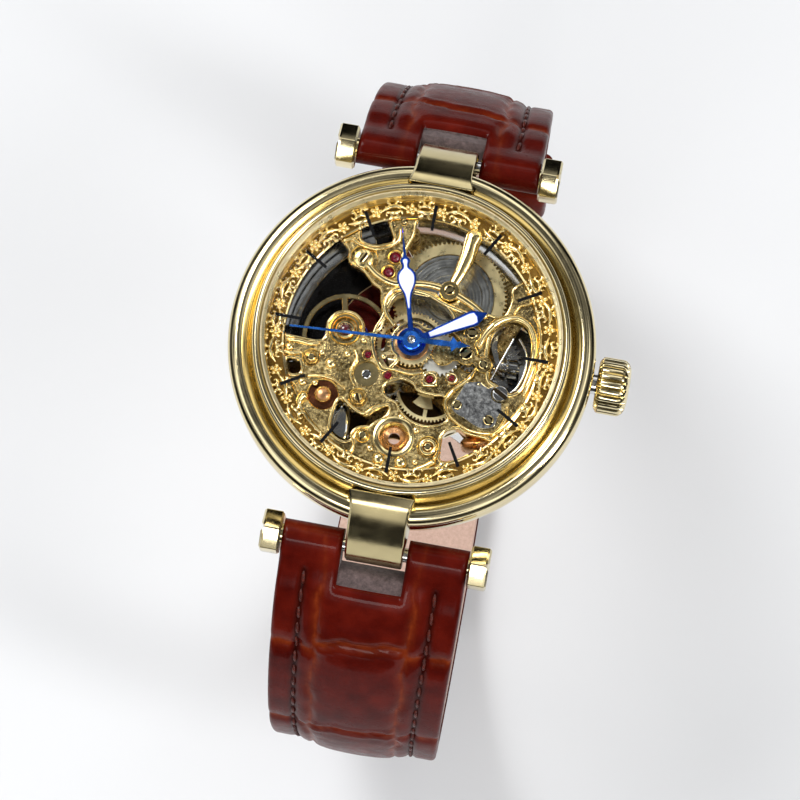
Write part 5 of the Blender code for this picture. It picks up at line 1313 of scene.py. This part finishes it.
steel_screws = screw((9.9, -3.7), 8.86, 0.82, -0.5, 0.3, 0.22) + screw((-4.0, -4.0), 8.2, 0.5, 0.9, 0.3)
piece("steel_screws", "case", ("steel", [STEEL_EDGE, SLOT_SHADE], 30, False), steel_screws)
rubies = [jewel(c, z, r) for c, z, r in (((-3.3, 8.6), 8.5, 0.48), ((-3.7, 6.95), 8.5, 0.44), (PALLET, 8.56, 0.36),
    (ESCAPE, 8.56, 0.36), (THIRD, 8.7, 0.38), ((4.7, -2.9), 8.64, 0.3), (BALANCE, 8.5, 0.56))]
piece("jewels", "case", ("ruby", [RUBY], 40, False), rubies)
piece("balance_cap", "case", ("glass", [clear("jewel_cap", (1, 0.97, 0.97), 1.6)], 60, True), [lathe(pts(
    "0 8.66, 0.6 8.66, 0.6 8.7, 0.45 8.82, 0.2 8.87, 0 8.88"), 40, BALANCE)])

# cover of the motion work, and of the keyless work
cover_at = pts("3.4 -0.6, 5.7 -0.1, 6 2.1, 7.7 -0.95")
cover = plate([circle(cover_at[0], 1.2, 48), circle(cover_at[1], 1.2, 48), circle(cover_at[2], 0.92, 40),
    circle(cover_at[3], 0.88, 40), ribbon([cover_at[0], (4.5, -0.35), cover_at[1]], [1.9, 1.5, 1.9]),
    ribbon([cover_at[1], (5.85, 1.0), cover_at[2]], [1.6, 1.1, 1.4]), ribbon([cover_at[1], (6.7, -0.6), cover_at[3]],
    [1.5, 1.0, 1.3])], [], 8.63, 8.82, 0.09)
piece("motion_work_cover", "case", GILT, [cover], "minute_train_cover")
KEYLESS = smooth(pts(
    "6.3 -3.1, 7 -2.9, 7.6 -2.75, 8 -3, 8.6 -3.25, 9.1 -3, 9.5 -3.4, 10.1 -4.3, 10.35 -5.2, 10.1 -6.2, "
    "9.9 -7.1, 9 -7.55, 8 -7.45, 6.8 -6.9, 5.6 -6.4, 5.15 -5.6, 5.6 -4.7, 5.9 -3.9"))
piece("keyless_work_cover", "case", ("steel", [STEEL_GRAIN, STEEL_EDGE], 25, False), [plate([KEYLESS],
    [circle((9.9, -3.7), 0.9, 32)], 8.63, 8.86, 0.05)], "keyless_cover")

# ---- movement: bridges at the back -------------------------------------------------------
FEET_B, FEET_T, FOOT_K = [(-2.1, 11.8), (10.4, 6.0)], [(8.6, -8.4), (-3.9, -11.2)], (-10.0, -6.0)
B0, B1, UNDER = 3.45, 4.1, 6.98


def pillar(c, r, z0=B1, z1=UNDER):
    return lathe([(0, z0), (r, z0), (r, z1 - 0.05), (r - 0.05, z1), (0, z1)], 40, c)


def bridge(adds, subs, z0=B0, z1=B1):
    return plate(adds, subs, z0, z1, 0.12, 0.12)


trench = pts("7 -1.05, 12 -1.05, 12 1.05, 7 1.05")
plan_b = [
    circle(BARREL, 2.0, 48),
    circle(CROWN_WHEEL, 1.4, 40),
    circle(CLICK, 1.1, 32),
    arc_band(CENTRE, 11.1, 12.8, 30, 100, 48),
    ribbon([BARREL, FEET_B[0]], [2.2, 1.8]),
    ribbon([BARREL, FEET_B[1]], [2.2, 1.8]),
    ribbon([BARREL, CLICK], [1.7, 1.5]),
    ribbon([CROWN_WHEEL, FEET_B[1]], [1.6, 1.5]),
    ribbon([BARREL, CROWN_WHEEL], [2.0, 1.8])]
hub_hole = [circle(BARREL, 0.66, 32)]
piece("bridge_of_barrel", "case", GILT, [plate(plan_b, hub_hole, B0, 3.7, 0, 0.12),
    plate(plan_b, hub_hole + [trench], 3.7, B1, 0.12), pillar(CROWN_WHEEL, 0.5, 2.9, B0),
    pillar(CLICK, 0.28, 2.9, B0)] + [pillar(f, 0.8) for f in FEET_B], "barrel_bridge")
piece("bridge_of_train", "case", GILT, [bridge([circle(CENTRE, 1.2, 40), circle(THIRD, 1.2, 40),
    circle(ESCAPE, 1.0, 36), bar(CENTRE, THIRD, 1.4), bar(CENTRE, ESCAPE, 1.2), bar(THIRD, ESCAPE, 1.2),
    ribbon([THIRD, (5.9, -6.3), FEET_T[0]], [1.6, 1.3, 1.6]), ribbon([ESCAPE, (-2.4, -7.6), FEET_T[1]],
    [1.6, 1.3, 1.6])], [circle(c, 0.3, 20) for c in (CENTRE, THIRD, ESCAPE)])] + [pillar(f, 0.8) for f in FEET_T],
    "train_bridge")
stud = polar(BALANCE, 2.75, 0.3)
piece("cock_of_balance", "case", GILT, [
    bridge([circle(BALANCE, 1.3, 40), circle(FOOT_K, 1.2, 40), ribbon([BALANCE, (-8.3, -2.7), FOOT_K],
        [1.7, 1.8, 2.2]), ribbon([BALANCE, stud], [0.8, 0.7])], [circle(BALANCE, 0.35, 24)]),
    pillar(FOOT_K, 0.9),
    pillar(stud, 0.2, B1, 4.45)], "balance_cock")
feet_p = [(-5.9, -4.3), (-4.6, -5.0)]
piece("bridge_of_fork", "case", GILT, [bridge([circle(PALLET, 0.8, 32), ribbon([PALLET, feet_p[0]], [1.1, 1.0]),
    bar(feet_p[0], feet_p[1], 0.9), circle(feet_p[0], 0.7, 28), circle(feet_p[1], 0.7, 28)],
    [circle(PALLET, 0.22, 20)], 5.08, 5.36)] + [pillar(f, 0.55, 5.36) for f in feet_p], "pallet_bridge")
piece("back_jewels", "case", ("ruby", [RUBY], 30, True), [sleeve(0.16, 0.34, B0 - 0.02, B1, 28, c) for c in
    (CENTRE, THIRD, ESCAPE, BALANCE)])
back_screws = []
for c in FEET_B + FEET_T + [FOOT_K, CROWN_WHEEL, CLICK, (5.9, -6.3), (0.2, 9.4)]:
    z, r = (2.9, 0.55) if c in (CROWN_WHEEL, CLICK) else (B0, 0.62)
    for shape in screw((c[0], -c[1]), 0, r, 0.7, 0.2):
        back_screws.append(placed(shape, Matrix.Translation((0, 0, z)) @ Matrix.Rotation(pi, 4, "X")))
piece("back_screws", "case", ("blued_steel", [BLUED, SLOT_SHADE], 30, False), back_screws)
# plates that close the back of the windows at 9, at 8, at 3 and over the third wheel
piece("steel_back_plate", "case", ("steel", [STEEL_DARK, STEEL_EDGE], 25, False), [plate([smooth(pts(
    "7.2 2.6, 8.2 4.4, 10.6 4.8, 12.4 3.4, 12.8 0, 12.2 -3, 10.6 -4.2, 8.6 -3.4, 7.2 -1.6"), 5)], [], 1.9, 2.6, 0.1)])
# the black sheet at 9 is painted shade for the deep opening under the balance window
piece("painted_shade_back_plate", "case", ("steel", [BLACK_SHADE_SHEET, STEEL_EDGE], 25, False), [
    plate([arc_band(CENTRE, 8.6, 13.1, 110, 190, 60)], [], 1.9, 2.7, 0.1, 0.05, mats=(0, 1, 0)),
    plate([arc_band(CENTRE, 12.2, 13.15, 118, 178, 50)], [], 2.7, 4.2, 0.1, mats=(1, 1, 1))])
piece("red_back_plate", "case", ("steel", [DARK_RED, STEEL_EDGE], 25, False), [plate([smooth(pts(
    "-8.4 5.9, -6 7.2, -3.2 6.4, -2.2 3, -3.2 0.2, -8.2 -1.8"), 6)], [], 1.9, 2.6, 0.1)])
piece("bronze_back_plate", "case", ("plate_gold", [SEEN_THROUGH, PLATE_EDGE], 25, False), [
    plate([arc_band(CENTRE, 2.6, 13.0, 193, 262, 60)], [circle((-0.2, -10.6), 1.6, 40)], 1.9, 2.6, 0.12),
    plate([arc_band(CENTRE, 2.6, 9.3, 262, 330, 60)], [circle((-0.2, -10.6), 1.6, 40)], 1.9, 2.6, 0.12)])
piece("steel_block_at_7", "case", ("steel", [STEEL_EDGE], 40, False), [plate([smooth(pts(
    "-6.3 -6.9, -5.3 -7.3, -4.9 -8.6, -4.9 -10.9, -6.7 -10.4, -7 -8.4"), 5)], [], 5.6, 6.3, 0.45, mats=(0, 0, 0),
    round_edge=True)])

# ---- movement: wheels --------------------------------------------------------------------
M_BARREL = module(BARREL, CENTRE, 80, 10)
M_CENTRE, M_THIRD = module(CENTRE, THIRD, 64, 8), module(THIRD, CENTRE, 60, 8)
M_FOURTH, M_MOTION = module(CENTRE, ESCAPE, 80, 8), module(CENTRE, MINUTE, 10, 30)
M_RATCHET = module(BARREL, CROWN_WHEEL, 48, 30)
ph_centre_p = mesh_phase(BARREL, 80, 0, CENTRE, 10)
ph_third_p = mesh_phase(CENTRE, 64, 0, THIRD, 8)
ph_fourth_p = mesh_phase(THIRD, 60, 0, CENTRE, 8)
ph_escape_p = mesh_phase(CENTRE, 80, 0, ESCAPE, 8)
ph_minute = mesh_phase(CENTRE, 10, 0, MINUTE, 30)
ph_hour = mesh_phase(MINUTE, 8, 0, CENTRE, 32)
ph_set = mesh_phase(MINUTE, 30, ph_minute, SETTING, 12)
ph_crown_wheel = mesh_phase(BARREL, 48, 0, CROWN_WHEEL, 30)


def shaft(c, steps, n=28):
    """A turned arbor: (height, radius) steps."""
    profile = [(0, steps[0][0])]
    for (z0, r), (z1, _) in zip(steps, steps[1:]):
        profile += [(r, z0), (r, z1)]
    return lathe(profile + [(0, steps[-1][0])], n, c)


def flat_wheel(c, z, m, phase, z0, z1, hub, rim, count, width, turn=0.0):
    r = z * m / 2
    return plate([gear(c, z, m, phase)], spokes(c, hub, r - rim, count, width, turn) + [circle(c, 0.12, 16)], z0, z1,
        0.03, 0.03)


drum = [
    lathe(pts("0.75 4.55, 5.3 4.55, 5.36 4.62, 5.36 5.3, 0.75 5.3"), 120, BARREL),
    plate([gear(BARREL, 80, M_BARREL, 0)], [circle(BARREL, 4.62, 120)], 5.3, 5.8, 0.05, 0.05)]
piece("barrel_body", "barrel", ("wheel_brass", [turned("barrel_brass", (0.80, 0.66, 0.36), BARREL, 0.3), BRASS_EDGE],
    25, False), drum, "barrel_drum")
piece("barrel_lid", "barrel", ("steel", [BARREL_STEEL], 25, True), [lathe(pts(
    "0.75 5.3, 4.62 5.3, 4.62 5.66, 4.55 5.73, 4.22 5.73, 4.15 5.62, 3.4 5.62, 3.32 5.5, 2.5 5.5, 2.42 5.62, "
    "2.1 5.62, 2.02 5.5, 1.25 5.5, 1.17 5.7, 0.75 5.7"), 120, BARREL)])


def coil(c, r0, r1, turns, thick, z0, z1, phase=0.0, per_turn=48):
    """A flat spiral spring."""
    n = int(turns * per_turn)
    verts = []
    for i in range(n + 1):
        a, r = phase + 2 * pi * i / per_turn, r0 + (r1 - r0) * i / n
        verts += [(*polar(c, rr, a), z) for rr, z in ((r - thick / 2, z0), (r + thick / 2, z0), (r + thick / 2, z1),
            (r - thick / 2, z1))]
    return swept(verts, 4)


piece("mainspring_coil", "barrel", ("steel", [STEEL_DARK], 30, True), [coil(BARREL, 1.2, 4.65, 9, 0.12, 4.85, 5.3)],
    "mainspring")
piece("arbor_of_barrel", "arbor", STEEL_TURNED, [shaft(BARREL, pts("2.9 0.3, 3.38 0.6, 5.9 0.4, 7.7 0"))],
    "barrel_arbor")
piece("ratchet", "arbor", ("steel", [turned("ratchet_steel", (0.55, 0.55, 0.55), BARREL, 0.18), STEEL_EDGE], 25,
    False), [plate([gear(BARREL, 48, M_RATCHET, 0)], [circle(BARREL, 0.36, 28)], 2.98, 3.34, 0.05, 0.05)],
    "ratchet_wheel")
piece("wheel_under_crown", "crown_wheel_body", ("steel", [turned("crown_wheel_steel", (0.55, 0.55, 0.55), CROWN_WHEEL,
    0.18), STEEL_EDGE], 25, False), [plate([gear(CROWN_WHEEL, 30, M_RATCHET, ph_crown_wheel)],
    [circle(CROWN_WHEEL, 0.62, 32)], 2.98, 3.34, 0.05, 0.05)], "crown_wheel")
nose = polar(BARREL, 48 * M_RATCHET / 2 + 0.81 * M_RATCHET, radians(138))
piece("click_pawl", "click_body", STEEL_PART, [plate([circle(CLICK, 0.75, 36), ccw([polar(CLICK, 0.7, radians(80)),
    polar(CLICK, 0.7, radians(-60)), nose])], [circle(CLICK, 0.34, 24)], 2.98, 3.3, 0.05, 0.05)], "click")

piece("centre_wheel_gear", "centre", BRASS_WHEEL, [
    flat_wheel(CENTRE, 64, M_CENTRE, 0, 6.1, 6.3, 0.95, 0.55, 4, 0.45, 0.4),
    plate([gear(CENTRE, 10, M_BARREL, ph_centre_p)], [], 5.15, 5.95, 0.04, 0.04, mats=(0, 0, 0)),
    lathe(pts("0 5.95, 0.6 5.95, 0.6 6.42, 0.42 6.5, 0.42 8.95, 0.38 9, 0 9"), 40)], "centre_wheel")
# the third wheel takes the paler brass, which is painted light
piece("third_wheel_gear", "third", ("wheel_brass", [BRASS_PAINTED_LIGHT, BRASS_EDGE], 25, False), [
    flat_wheel(THIRD, 60, M_THIRD, 0, 4.65, 4.8, 0.9, 0.5, 4, 0.45),
    plate([arc_band(THIRD, 0.4, 2.45, 232, 288, 16)], [], 4.8, 5.0, 0.05),
    plate([gear(THIRD, 8, M_CENTRE, ph_third_p)], [], 5.95, 6.45, 0.04, 0.04, mats=(0, 0, 0)),
    shaft(THIRD, pts("3.7 0.12, 4.2 0.2, 6.9 0.12, 7.4 0"))], "third_wheel")
piece("fourth_wheel_gear", "seconds", BRASS_WHEEL, [
    flat_wheel(CENTRE, 80, M_FOURTH, 0, 4.25, 4.4, 0.95, 0.45, 4, 0.4, 0.2),
    plate([gear(CENTRE, 8, M_THIRD, ph_fourth_p)], [], 4.4, 5.0, 0.04, 0.04, mats=(0, 0, 0)),
    shaft(CENTRE, pts("3.6 0.12, 4.2 0.15, 10.3 0.15, 10.45 0"))], "fourth_wheel")
escape_teeth = []
for i in range(15):
    a = 2 * pi * i / 15
    escape_teeth += [
        polar(ESCAPE, 1.5, a - 0.34),
        polar(ESCAPE, 1.5, a - 0.14),
        polar(ESCAPE, 1.66, a - 0.08),
        polar(ESCAPE, 1.98, a - 0.05),
        polar(ESCAPE, 2.05, a),
        polar(ESCAPE, 1.75, a - 0.13 + 0.1)]
piece("escape_wheel_gear", "escape", STEEL_PART, [
    plate([escape_teeth], spokes(ESCAPE, 0.45, 1.3, 4, 0.22), 5.5, 5.65, 0.03, 0.03),
    plate([gear(ESCAPE, 8, M_FOURTH, ph_escape_p)], [], 4.17, 4.5, 0.03, 0.03),
    shaft(ESCAPE, pts("3.65 0.1, 4.15 0.15, 6.9 0.1, 7.4 0"))], "escape_wheel")
to_e, to_b = angle(PALLET, ESCAPE), angle(PALLET, BALANCE)
stone_a, stone_b = (polar(ESCAPE, 2.33, to_e + pi + s * radians(32)) for s in (1, -1))
fork_end = polar(PALLET, 2.55, to_b)
horns = [polar(fork_end, 0.42, to_b + s) for s in (radians(75), radians(-75))]
fork_plan = [
    circle(PALLET, 0.5, 28),
    ribbon([stone_a, PALLET, stone_b], [0.32, 0.5, 0.32]),
    ribbon([PALLET, fork_end], [0.42, 0.26]),
    bar(horns[0], polar(horns[0], 0.3, to_b), 0.2),
    bar(horns[1], polar(horns[1], 0.3, to_b), 0.2),
    bar(horns[0], horns[1], 0.24)]
piece("fork_lever", "fork", STEEL_PART, [
    plate(fork_plan, [], 5.5, 5.7, 0.03, 0.03),
    shaft(PALLET, pts("5.1 0.1, 5.4 0.15, 6.9 0.1, 7.4 0"))], "pallet_fork")
piece("pallet_stones", "fork", ("ruby", [RUBY], 30, False), [plate([bar(polar(s, 0.2, angle(ESCAPE, s)),
    polar(s, -0.22, angle(ESCAPE, s)), 0.26)], [], 5.48, 5.72, 0.02) for s in (stone_a, stone_b)])
rim_turn = radians(103)
balance = [
    plate([circle(BALANCE, 4.65, 128)], spokes(BALANCE, 0.95, 4.12, 2, 0.62, rim_turn, 96), 4.6, 5.0, 0.07, 0.07,
        mats=(0, 0, 0)),
    shaft(BALANCE, pts("3.6 0.1, 4.15 0.5, 4.5 0.18, 5 0.6, 5.4 0.18, 6.9 0.1, 7.4 0"))]
for k in range(10):
    a = rim_turn + 2 * pi * (k + 0.5) / 10
    balance.append(lathe(pts("0 4.95, 0.17 4.95, 0.17 5.02, 0.12 5.06, 0 5.06"), 16, polar(BALANCE, 4.38, a)))
piece("balance_rim", "balance", ("wheel_brass", [BRASS_EDGE], 30, False), balance, "balance_wheel")
piece("impulse_pin", "balance", ("ruby", [RUBY], 30, True), [sleeve(0, 0.1, 5.4, 5.47, 12,
    polar(BALANCE, 0.42, to_b + pi))])
piece("hairspring_coil", "balance", ("blued_steel", [BLUED], 30, True),
    [coil(BALANCE, 0.72, 2.45, 9, 0.05, 4.26, 4.44, 0.3)], "hairspring")

# motion work
piece("cannon", "minutes", ("steel", [STEEL], 25, False), [
    plate([gear(CENTRE, 10, M_MOTION, 0)], [circle(CENTRE, 0.47, 24)], 7.65, 8.1, 0.04),
    lathe(pts("0.47 8.1, 0.62 8.1, 0.62 9.9, 0.58 9.95, 0.47 9.95"), 40)], "cannon_pinion")
piece("minute_wheel_gear", "minute_work", ("steel", [turned("minute_steel", (0.86, 0.83, 0.74), MINUTE, 0.38),
    STEEL_EDGE], 25, False), [
    plate([gear(MINUTE, 30, M_MOTION, ph_minute)], [circle(MINUTE, 0.28, 20)], 7.72, 7.95, 0.05),
    plate([gear(MINUTE, 8, M_MOTION, 0)], [circle(MINUTE, 0.24, 20)], 7.95, 8.5, 0.03)], "minute_wheel")
piece("hour_wheel_gear", "hours", BRASS_WHEEL, [plate([gear(CENTRE, 32, M_MOTION, ph_hour)],
    [circle(CENTRE, 0.67, 32)], 8.24, 8.42, 0.05)], "hour_wheel")
piece("hour_pipe", "hours", ("plate_gold", [COPPER_TURNED], 30, True), [lathe(pts(
    "0.67 8.42, 1.75 8.42, 1.72 8.5, 1 8.56, 1 9.5, 0.67 9.5"), 64)])
piece("setting_wheel_gear", "setting", STEEL_PART, [plate([gear(SETTING, 12, M_MOTION, ph_set)],
    [circle(SETTING, 0.36, 20)], 7.72, 7.93, 0.04)], "setting_wheel")

# keyless work
lever_tip, yoke_tip = (11.57, 0.0), (9.02, 0.0)
piece("setting_lever_arm", "setting_lever_body", STEEL_PART, [
    plate([circle(LEVER_PIN, 0.8, 36), ribbon([LEVER_PIN, (11.7, -2.0), lever_tip], [1.0, 0.75, 0.6])],
        [circle(LEVER_PIN, 0.3, 20)], 6.1, 6.35, 0.05, 0.05),
    sleeve(0, 0.17, 4.97, 6.1, 20, lever_tip)], "setting_lever")
piece("yoke_arm", "yoke_body", STEEL_PART, [
    plate([circle(YOKE_PIN, 0.75, 36), ribbon([YOKE_PIN, (8.3, 1.8), yoke_tip], [0.9, 0.7, 0.5])],
        [circle(YOKE_PIN, 0.3, 20)], 5.85, 6.07, 0.05, 0.05),
    sleeve(0, 0.14, 5.35, 5.85, 20, yoke_tip)], "yoke")


def cogs(x0, x1, r, root, teeth, bore_r):
    """A toothed drum on the stem's axis."""
    line = []
    for i in range(teeth):
        a = 2 * pi * i / teeth
        line += [polar((0, 0), rr, a + d * 2 * pi / teeth) for rr, d in ((root, -0.3), (r, -0.17), (r, 0.17),
            (root, 0.3))]
    return placed(along_x(plate([line], [circle((0, 0), bore_r, 24)], x0, x1, 0.06, 0.06)), up)


piece("pinion_on_stem", "winding", STEEL_PART, [cogs(10.1, 11.1, 1.02, 0.74, 14, 0.44)], "winding_pinion")
piece("clutch_on_stem", "clutch", STEEL_PART, [
    cogs(8.5, 8.8, 0.95, 0.7, 12, 0.43),
    placed(along_x(lathe(pts("0.43 8.8, 0.72 8.8, 0.62 8.9, 0.62 9.15, 0.85 9.25, 0.85 9.6, 0.43 9.6"), 36)), up),
    cogs(9.6, 9.9, 0.95, 0.7, 12, 0.43)], "clutch_wheel")
springs = [tube([(x, y, 7.25) for x, y in spline(p, False, 6)], r, 8) for p, r in ((pts(
    "-3.6 -4.2, -3.35 -5.2, -2.5 -6, -1.3 -6.15, -0.4 -5.9"), 0.09), (pts("8.4 -2.6, 8.9 -1.2, 9.6 0.8, 10.2 2.6"),
    0.13), (pts("10.7 -3.3, 11.5 -2.2, 11.95 -0.4, 11.7 1.4, 10.8 2.7"), 0.12))]
piece("steel_springs", "case", ("steel", [STEEL_EDGE], 60, True), springs)


# ---- hands --------------------------------------------------------------------------------
def hand_plan(points, clock_deg, per=0):
    """A half outline (radius, half width) mirrored about a hand that points to clock_deg."""
    a = radians(90 - clock_deg)
    half = spline(points, False, per) if per else points
    full = half + [(r, -w) for r, w in reversed(half) if w > 0.001]
    return [(r * cos(a) - w * sin(a), r * sin(a) + w * cos(a)) for r, w in full]


def hand_piece(name, body, node, plan, hub, hole, z0, z1, inlay=None, extra=(), mats=(BLUED, BLUED_EDGE)):
    subs = [circle(CENTRE, hole, 48)] + ([inlay] if inlay else [])
    piece(name, body, ("blued_steel", mats, 20, False), [plate([circle(CENTRE, hub, 64), plan], subs, z0, z1, 0.05,
        0.03)] + list(extra), node)
    if inlay:
        piece(name + "_inlay", body, ("lume", [LUME], 40, False), [plate([inset(inlay, -0.01)], [], z0 + 0.03, z1 +
            0.02, 0.05, round_edge=True)])


hand_piece("hour_pointer", "hours", "hour_hand", hand_plan(pts("0.7 0.35, 1.9 0.42, 6.9 0.86, 8.4 0"), 58.75), 1.5,
    1.03, 9.3, 9.5, hand_plan(pts("1.95 0.24, 6.6 0.6, 7.05 0.52, 7.2 0"), 58.75), [remat(lathe(pts(
    "1.03 8.75, 1.25 8.75, 1.25 9.2, 1.3 9.3, 1.03 9.3"), 48), 0)])
hand_piece("minute_pointer", "minutes", "minute_hand", hand_plan(pts(
    "0.6 0.3, 3.2 0.24, 4.2 0.3, 5 0.47, 5.7 0.78, 6.3 0.98, 6.9 0.98, 7.35 0.78, 7.7 0.42, 8 0.36, 8.35 0.5, "
    "8.65 0.45, 8.95 0.18, 9.6 0.14, 12.1 0"), 345.0, 5), 1.1, 0.65, 9.72, 9.92, hand_plan(pts(
    "3.4 0, 3.5 0.08, 4.4 0.16, 5 0.28, 5.6 0.55, 6.2 0.76, 6.85 0.77, 7.3 0.55, 7.65 0.22, 8 0.16, 8.3 0.24, "
    "8.55 0.2, 8.65 0"), 345.0, 4), [remat(lathe(pts("0.65 9.72, 0.95 9.72, 0.95 10, 0.85 10.06, 0.65 10.06"), 48),
    1)])
hand_piece("second_pointer", "seconds", "second_hand", hand_plan(pts(
    "-6.1 0, -4.9 0.34, -4.7 0.3, -4.2 0.8, -4 0.28, -3 0.32, -1.9 0.26, -0.8 0.24, 0.8 0.2, 12.6 0.1"), 266.5), 0.9,
    0.16, 10.3, 10.44, mats=(BLUE_BRIGHT, BLUE_BRIGHT))
piece("second_hand_tube", "seconds", ("steel", [STEEL_EDGE], 30, True), [
    lathe(pts("0.16 10.3, 0.42 10.3, 0.42 10.44, 0.34 10.5, 0.24 10.5, 0.16 10.46"), 40),
    lathe(pts("0 10.3, 0.14 10.3, 0.14 10.52, 0.09 10.56, 0 10.57"), 24)])


# ---- stage, lights and camera -----------------------------------------------------------
def floor_material():
    look = Look("pale_floor", 0.9)
    look.tones(look.noise(8, 3), (0.765, 0.775, 0.79), (0.785, 0.795, 0.81))
    return look.bump(look.noise(400, 4), 0.03, 0.1).mat


WORLD = 0.8
BOXES = [("softbox_left", (-430, 330, 700), (300, 460), 4.3), ("softbox_right", (560, -160, 520), (130, 520), 2.2),
    ("softbox_front", (-60, -600, 560), (420, 160), 1.5)]
FLOOR_R = 260.0
floor_z = cad_box[0][2] / MM - 0.05
floor = bpy.data.objects.new("floor", bpy.data.meshes.new("floor"))
floor.data.from_pydata([(x * MM, y * MM, floor_z * MM) for x, y in circle(CENTRE, FLOOR_R, 96)], [],
    [tuple(range(96))])
floor.data.materials.append(floor_material())
bpy.context.scene.collection.objects.link(floor)

scene = bpy.context.scene
scene.view_settings.view_transform = "Standard"
world = bpy.data.worlds.new("studio")
world.use_nodes = True
scene.world = world
sky = Nodes(world.node_tree)
# the room: dark near the horizon, pale reflectors above it in broken patches, and dim overhead
direction = sky.node("ShaderNodeTexCoord").outputs["Generated"]
height = sky.node("ShaderNodeSeparateXYZ", Vector=direction).outputs["Z"]
levels = sky.ramp(height, pts("0 0.16, 0.08 0.03, 0.3 0.05, 0.4 0.5, 0.55 1.9, 0.8 2.1, 0.9 0.9, 1 0.35"))
patches = sky.ramp(sky.node("ShaderNodeTexNoise", Vector=direction, Scale=3.0, Detail=1.0).outputs["Fac"],
    pts("0.4 0.08, 0.47 0.3, 0.53 0.85, 0.6 1"))
room = sky.node("ShaderNodeMixRGB", {"blend_type": "MULTIPLY"}, Fac=1.0, Color1=levels, Color2=patches)
back = sky.tree.nodes["Background"]
sky.tree.links.new(room.outputs["Color"], back.inputs["Color"])
back.inputs["Strength"].default_value = WORLD
pale = sky.node("ShaderNodeBackground", Color=(0.87, 0.895, 0.92, 1), Strength=1.0)
seen = sky.node("ShaderNodeMixShader", Fac=sky.node("ShaderNodeLightPath").outputs["Is Camera Ray"])
for shader, socket in ((back, seen.inputs[1]), (pale, seen.inputs[2])):
    sky.tree.links.new(shader.outputs["Background"], socket)
sky.tree.links.new(seen.outputs["Shader"], sky.tree.nodes["World Output"].inputs["Surface"])


def softbox(name, at, size_mm, watts, colour=(1, 1, 1)):
    lamp = bpy.data.lights.new(name, "AREA")
    lamp.shape, lamp.size, lamp.size_y = "RECTANGLE", size_mm[0] * MM, size_mm[1] * MM
    lamp.energy, lamp.color = watts, colour
    ob = bpy.data.objects.new(name, lamp)
    ob.location = Vector(at) * MM
    ob.rotation_euler = (Vector((0, 0, 0)) - ob.location).to_track_quat("-Z", "Y").to_euler()
    scene.collection.objects.link(ob)


for spec in BOXES:
    softbox(*spec)

R = (Matrix.Rotation(radians(-10.7675), 3, "Z") @ Matrix.Rotation(radians(-11.2414), 3, "X") @
    Matrix.Rotation(radians(-3.1142), 3, "Y"))
eye = -(R.transposed() @ Vector((1.168, 6.332, -372.1))) + Vector((0, 0, 11.0))
cam = bpy.data.cameras.new("camera")
cam.lens, cam.sensor_width = 3640 / 800 * 36, 36
cam.clip_start, cam.clip_end = 0.01, 20
cam_ob = bpy.data.objects.new("camera", cam)
cam_ob.matrix_world = Matrix.Translation(eye * MM) @ R.transposed().to_4x4()
scene.collection.objects.link(cam_ob)
scene.camera = cam_ob

bpy.context.view_layer.update()
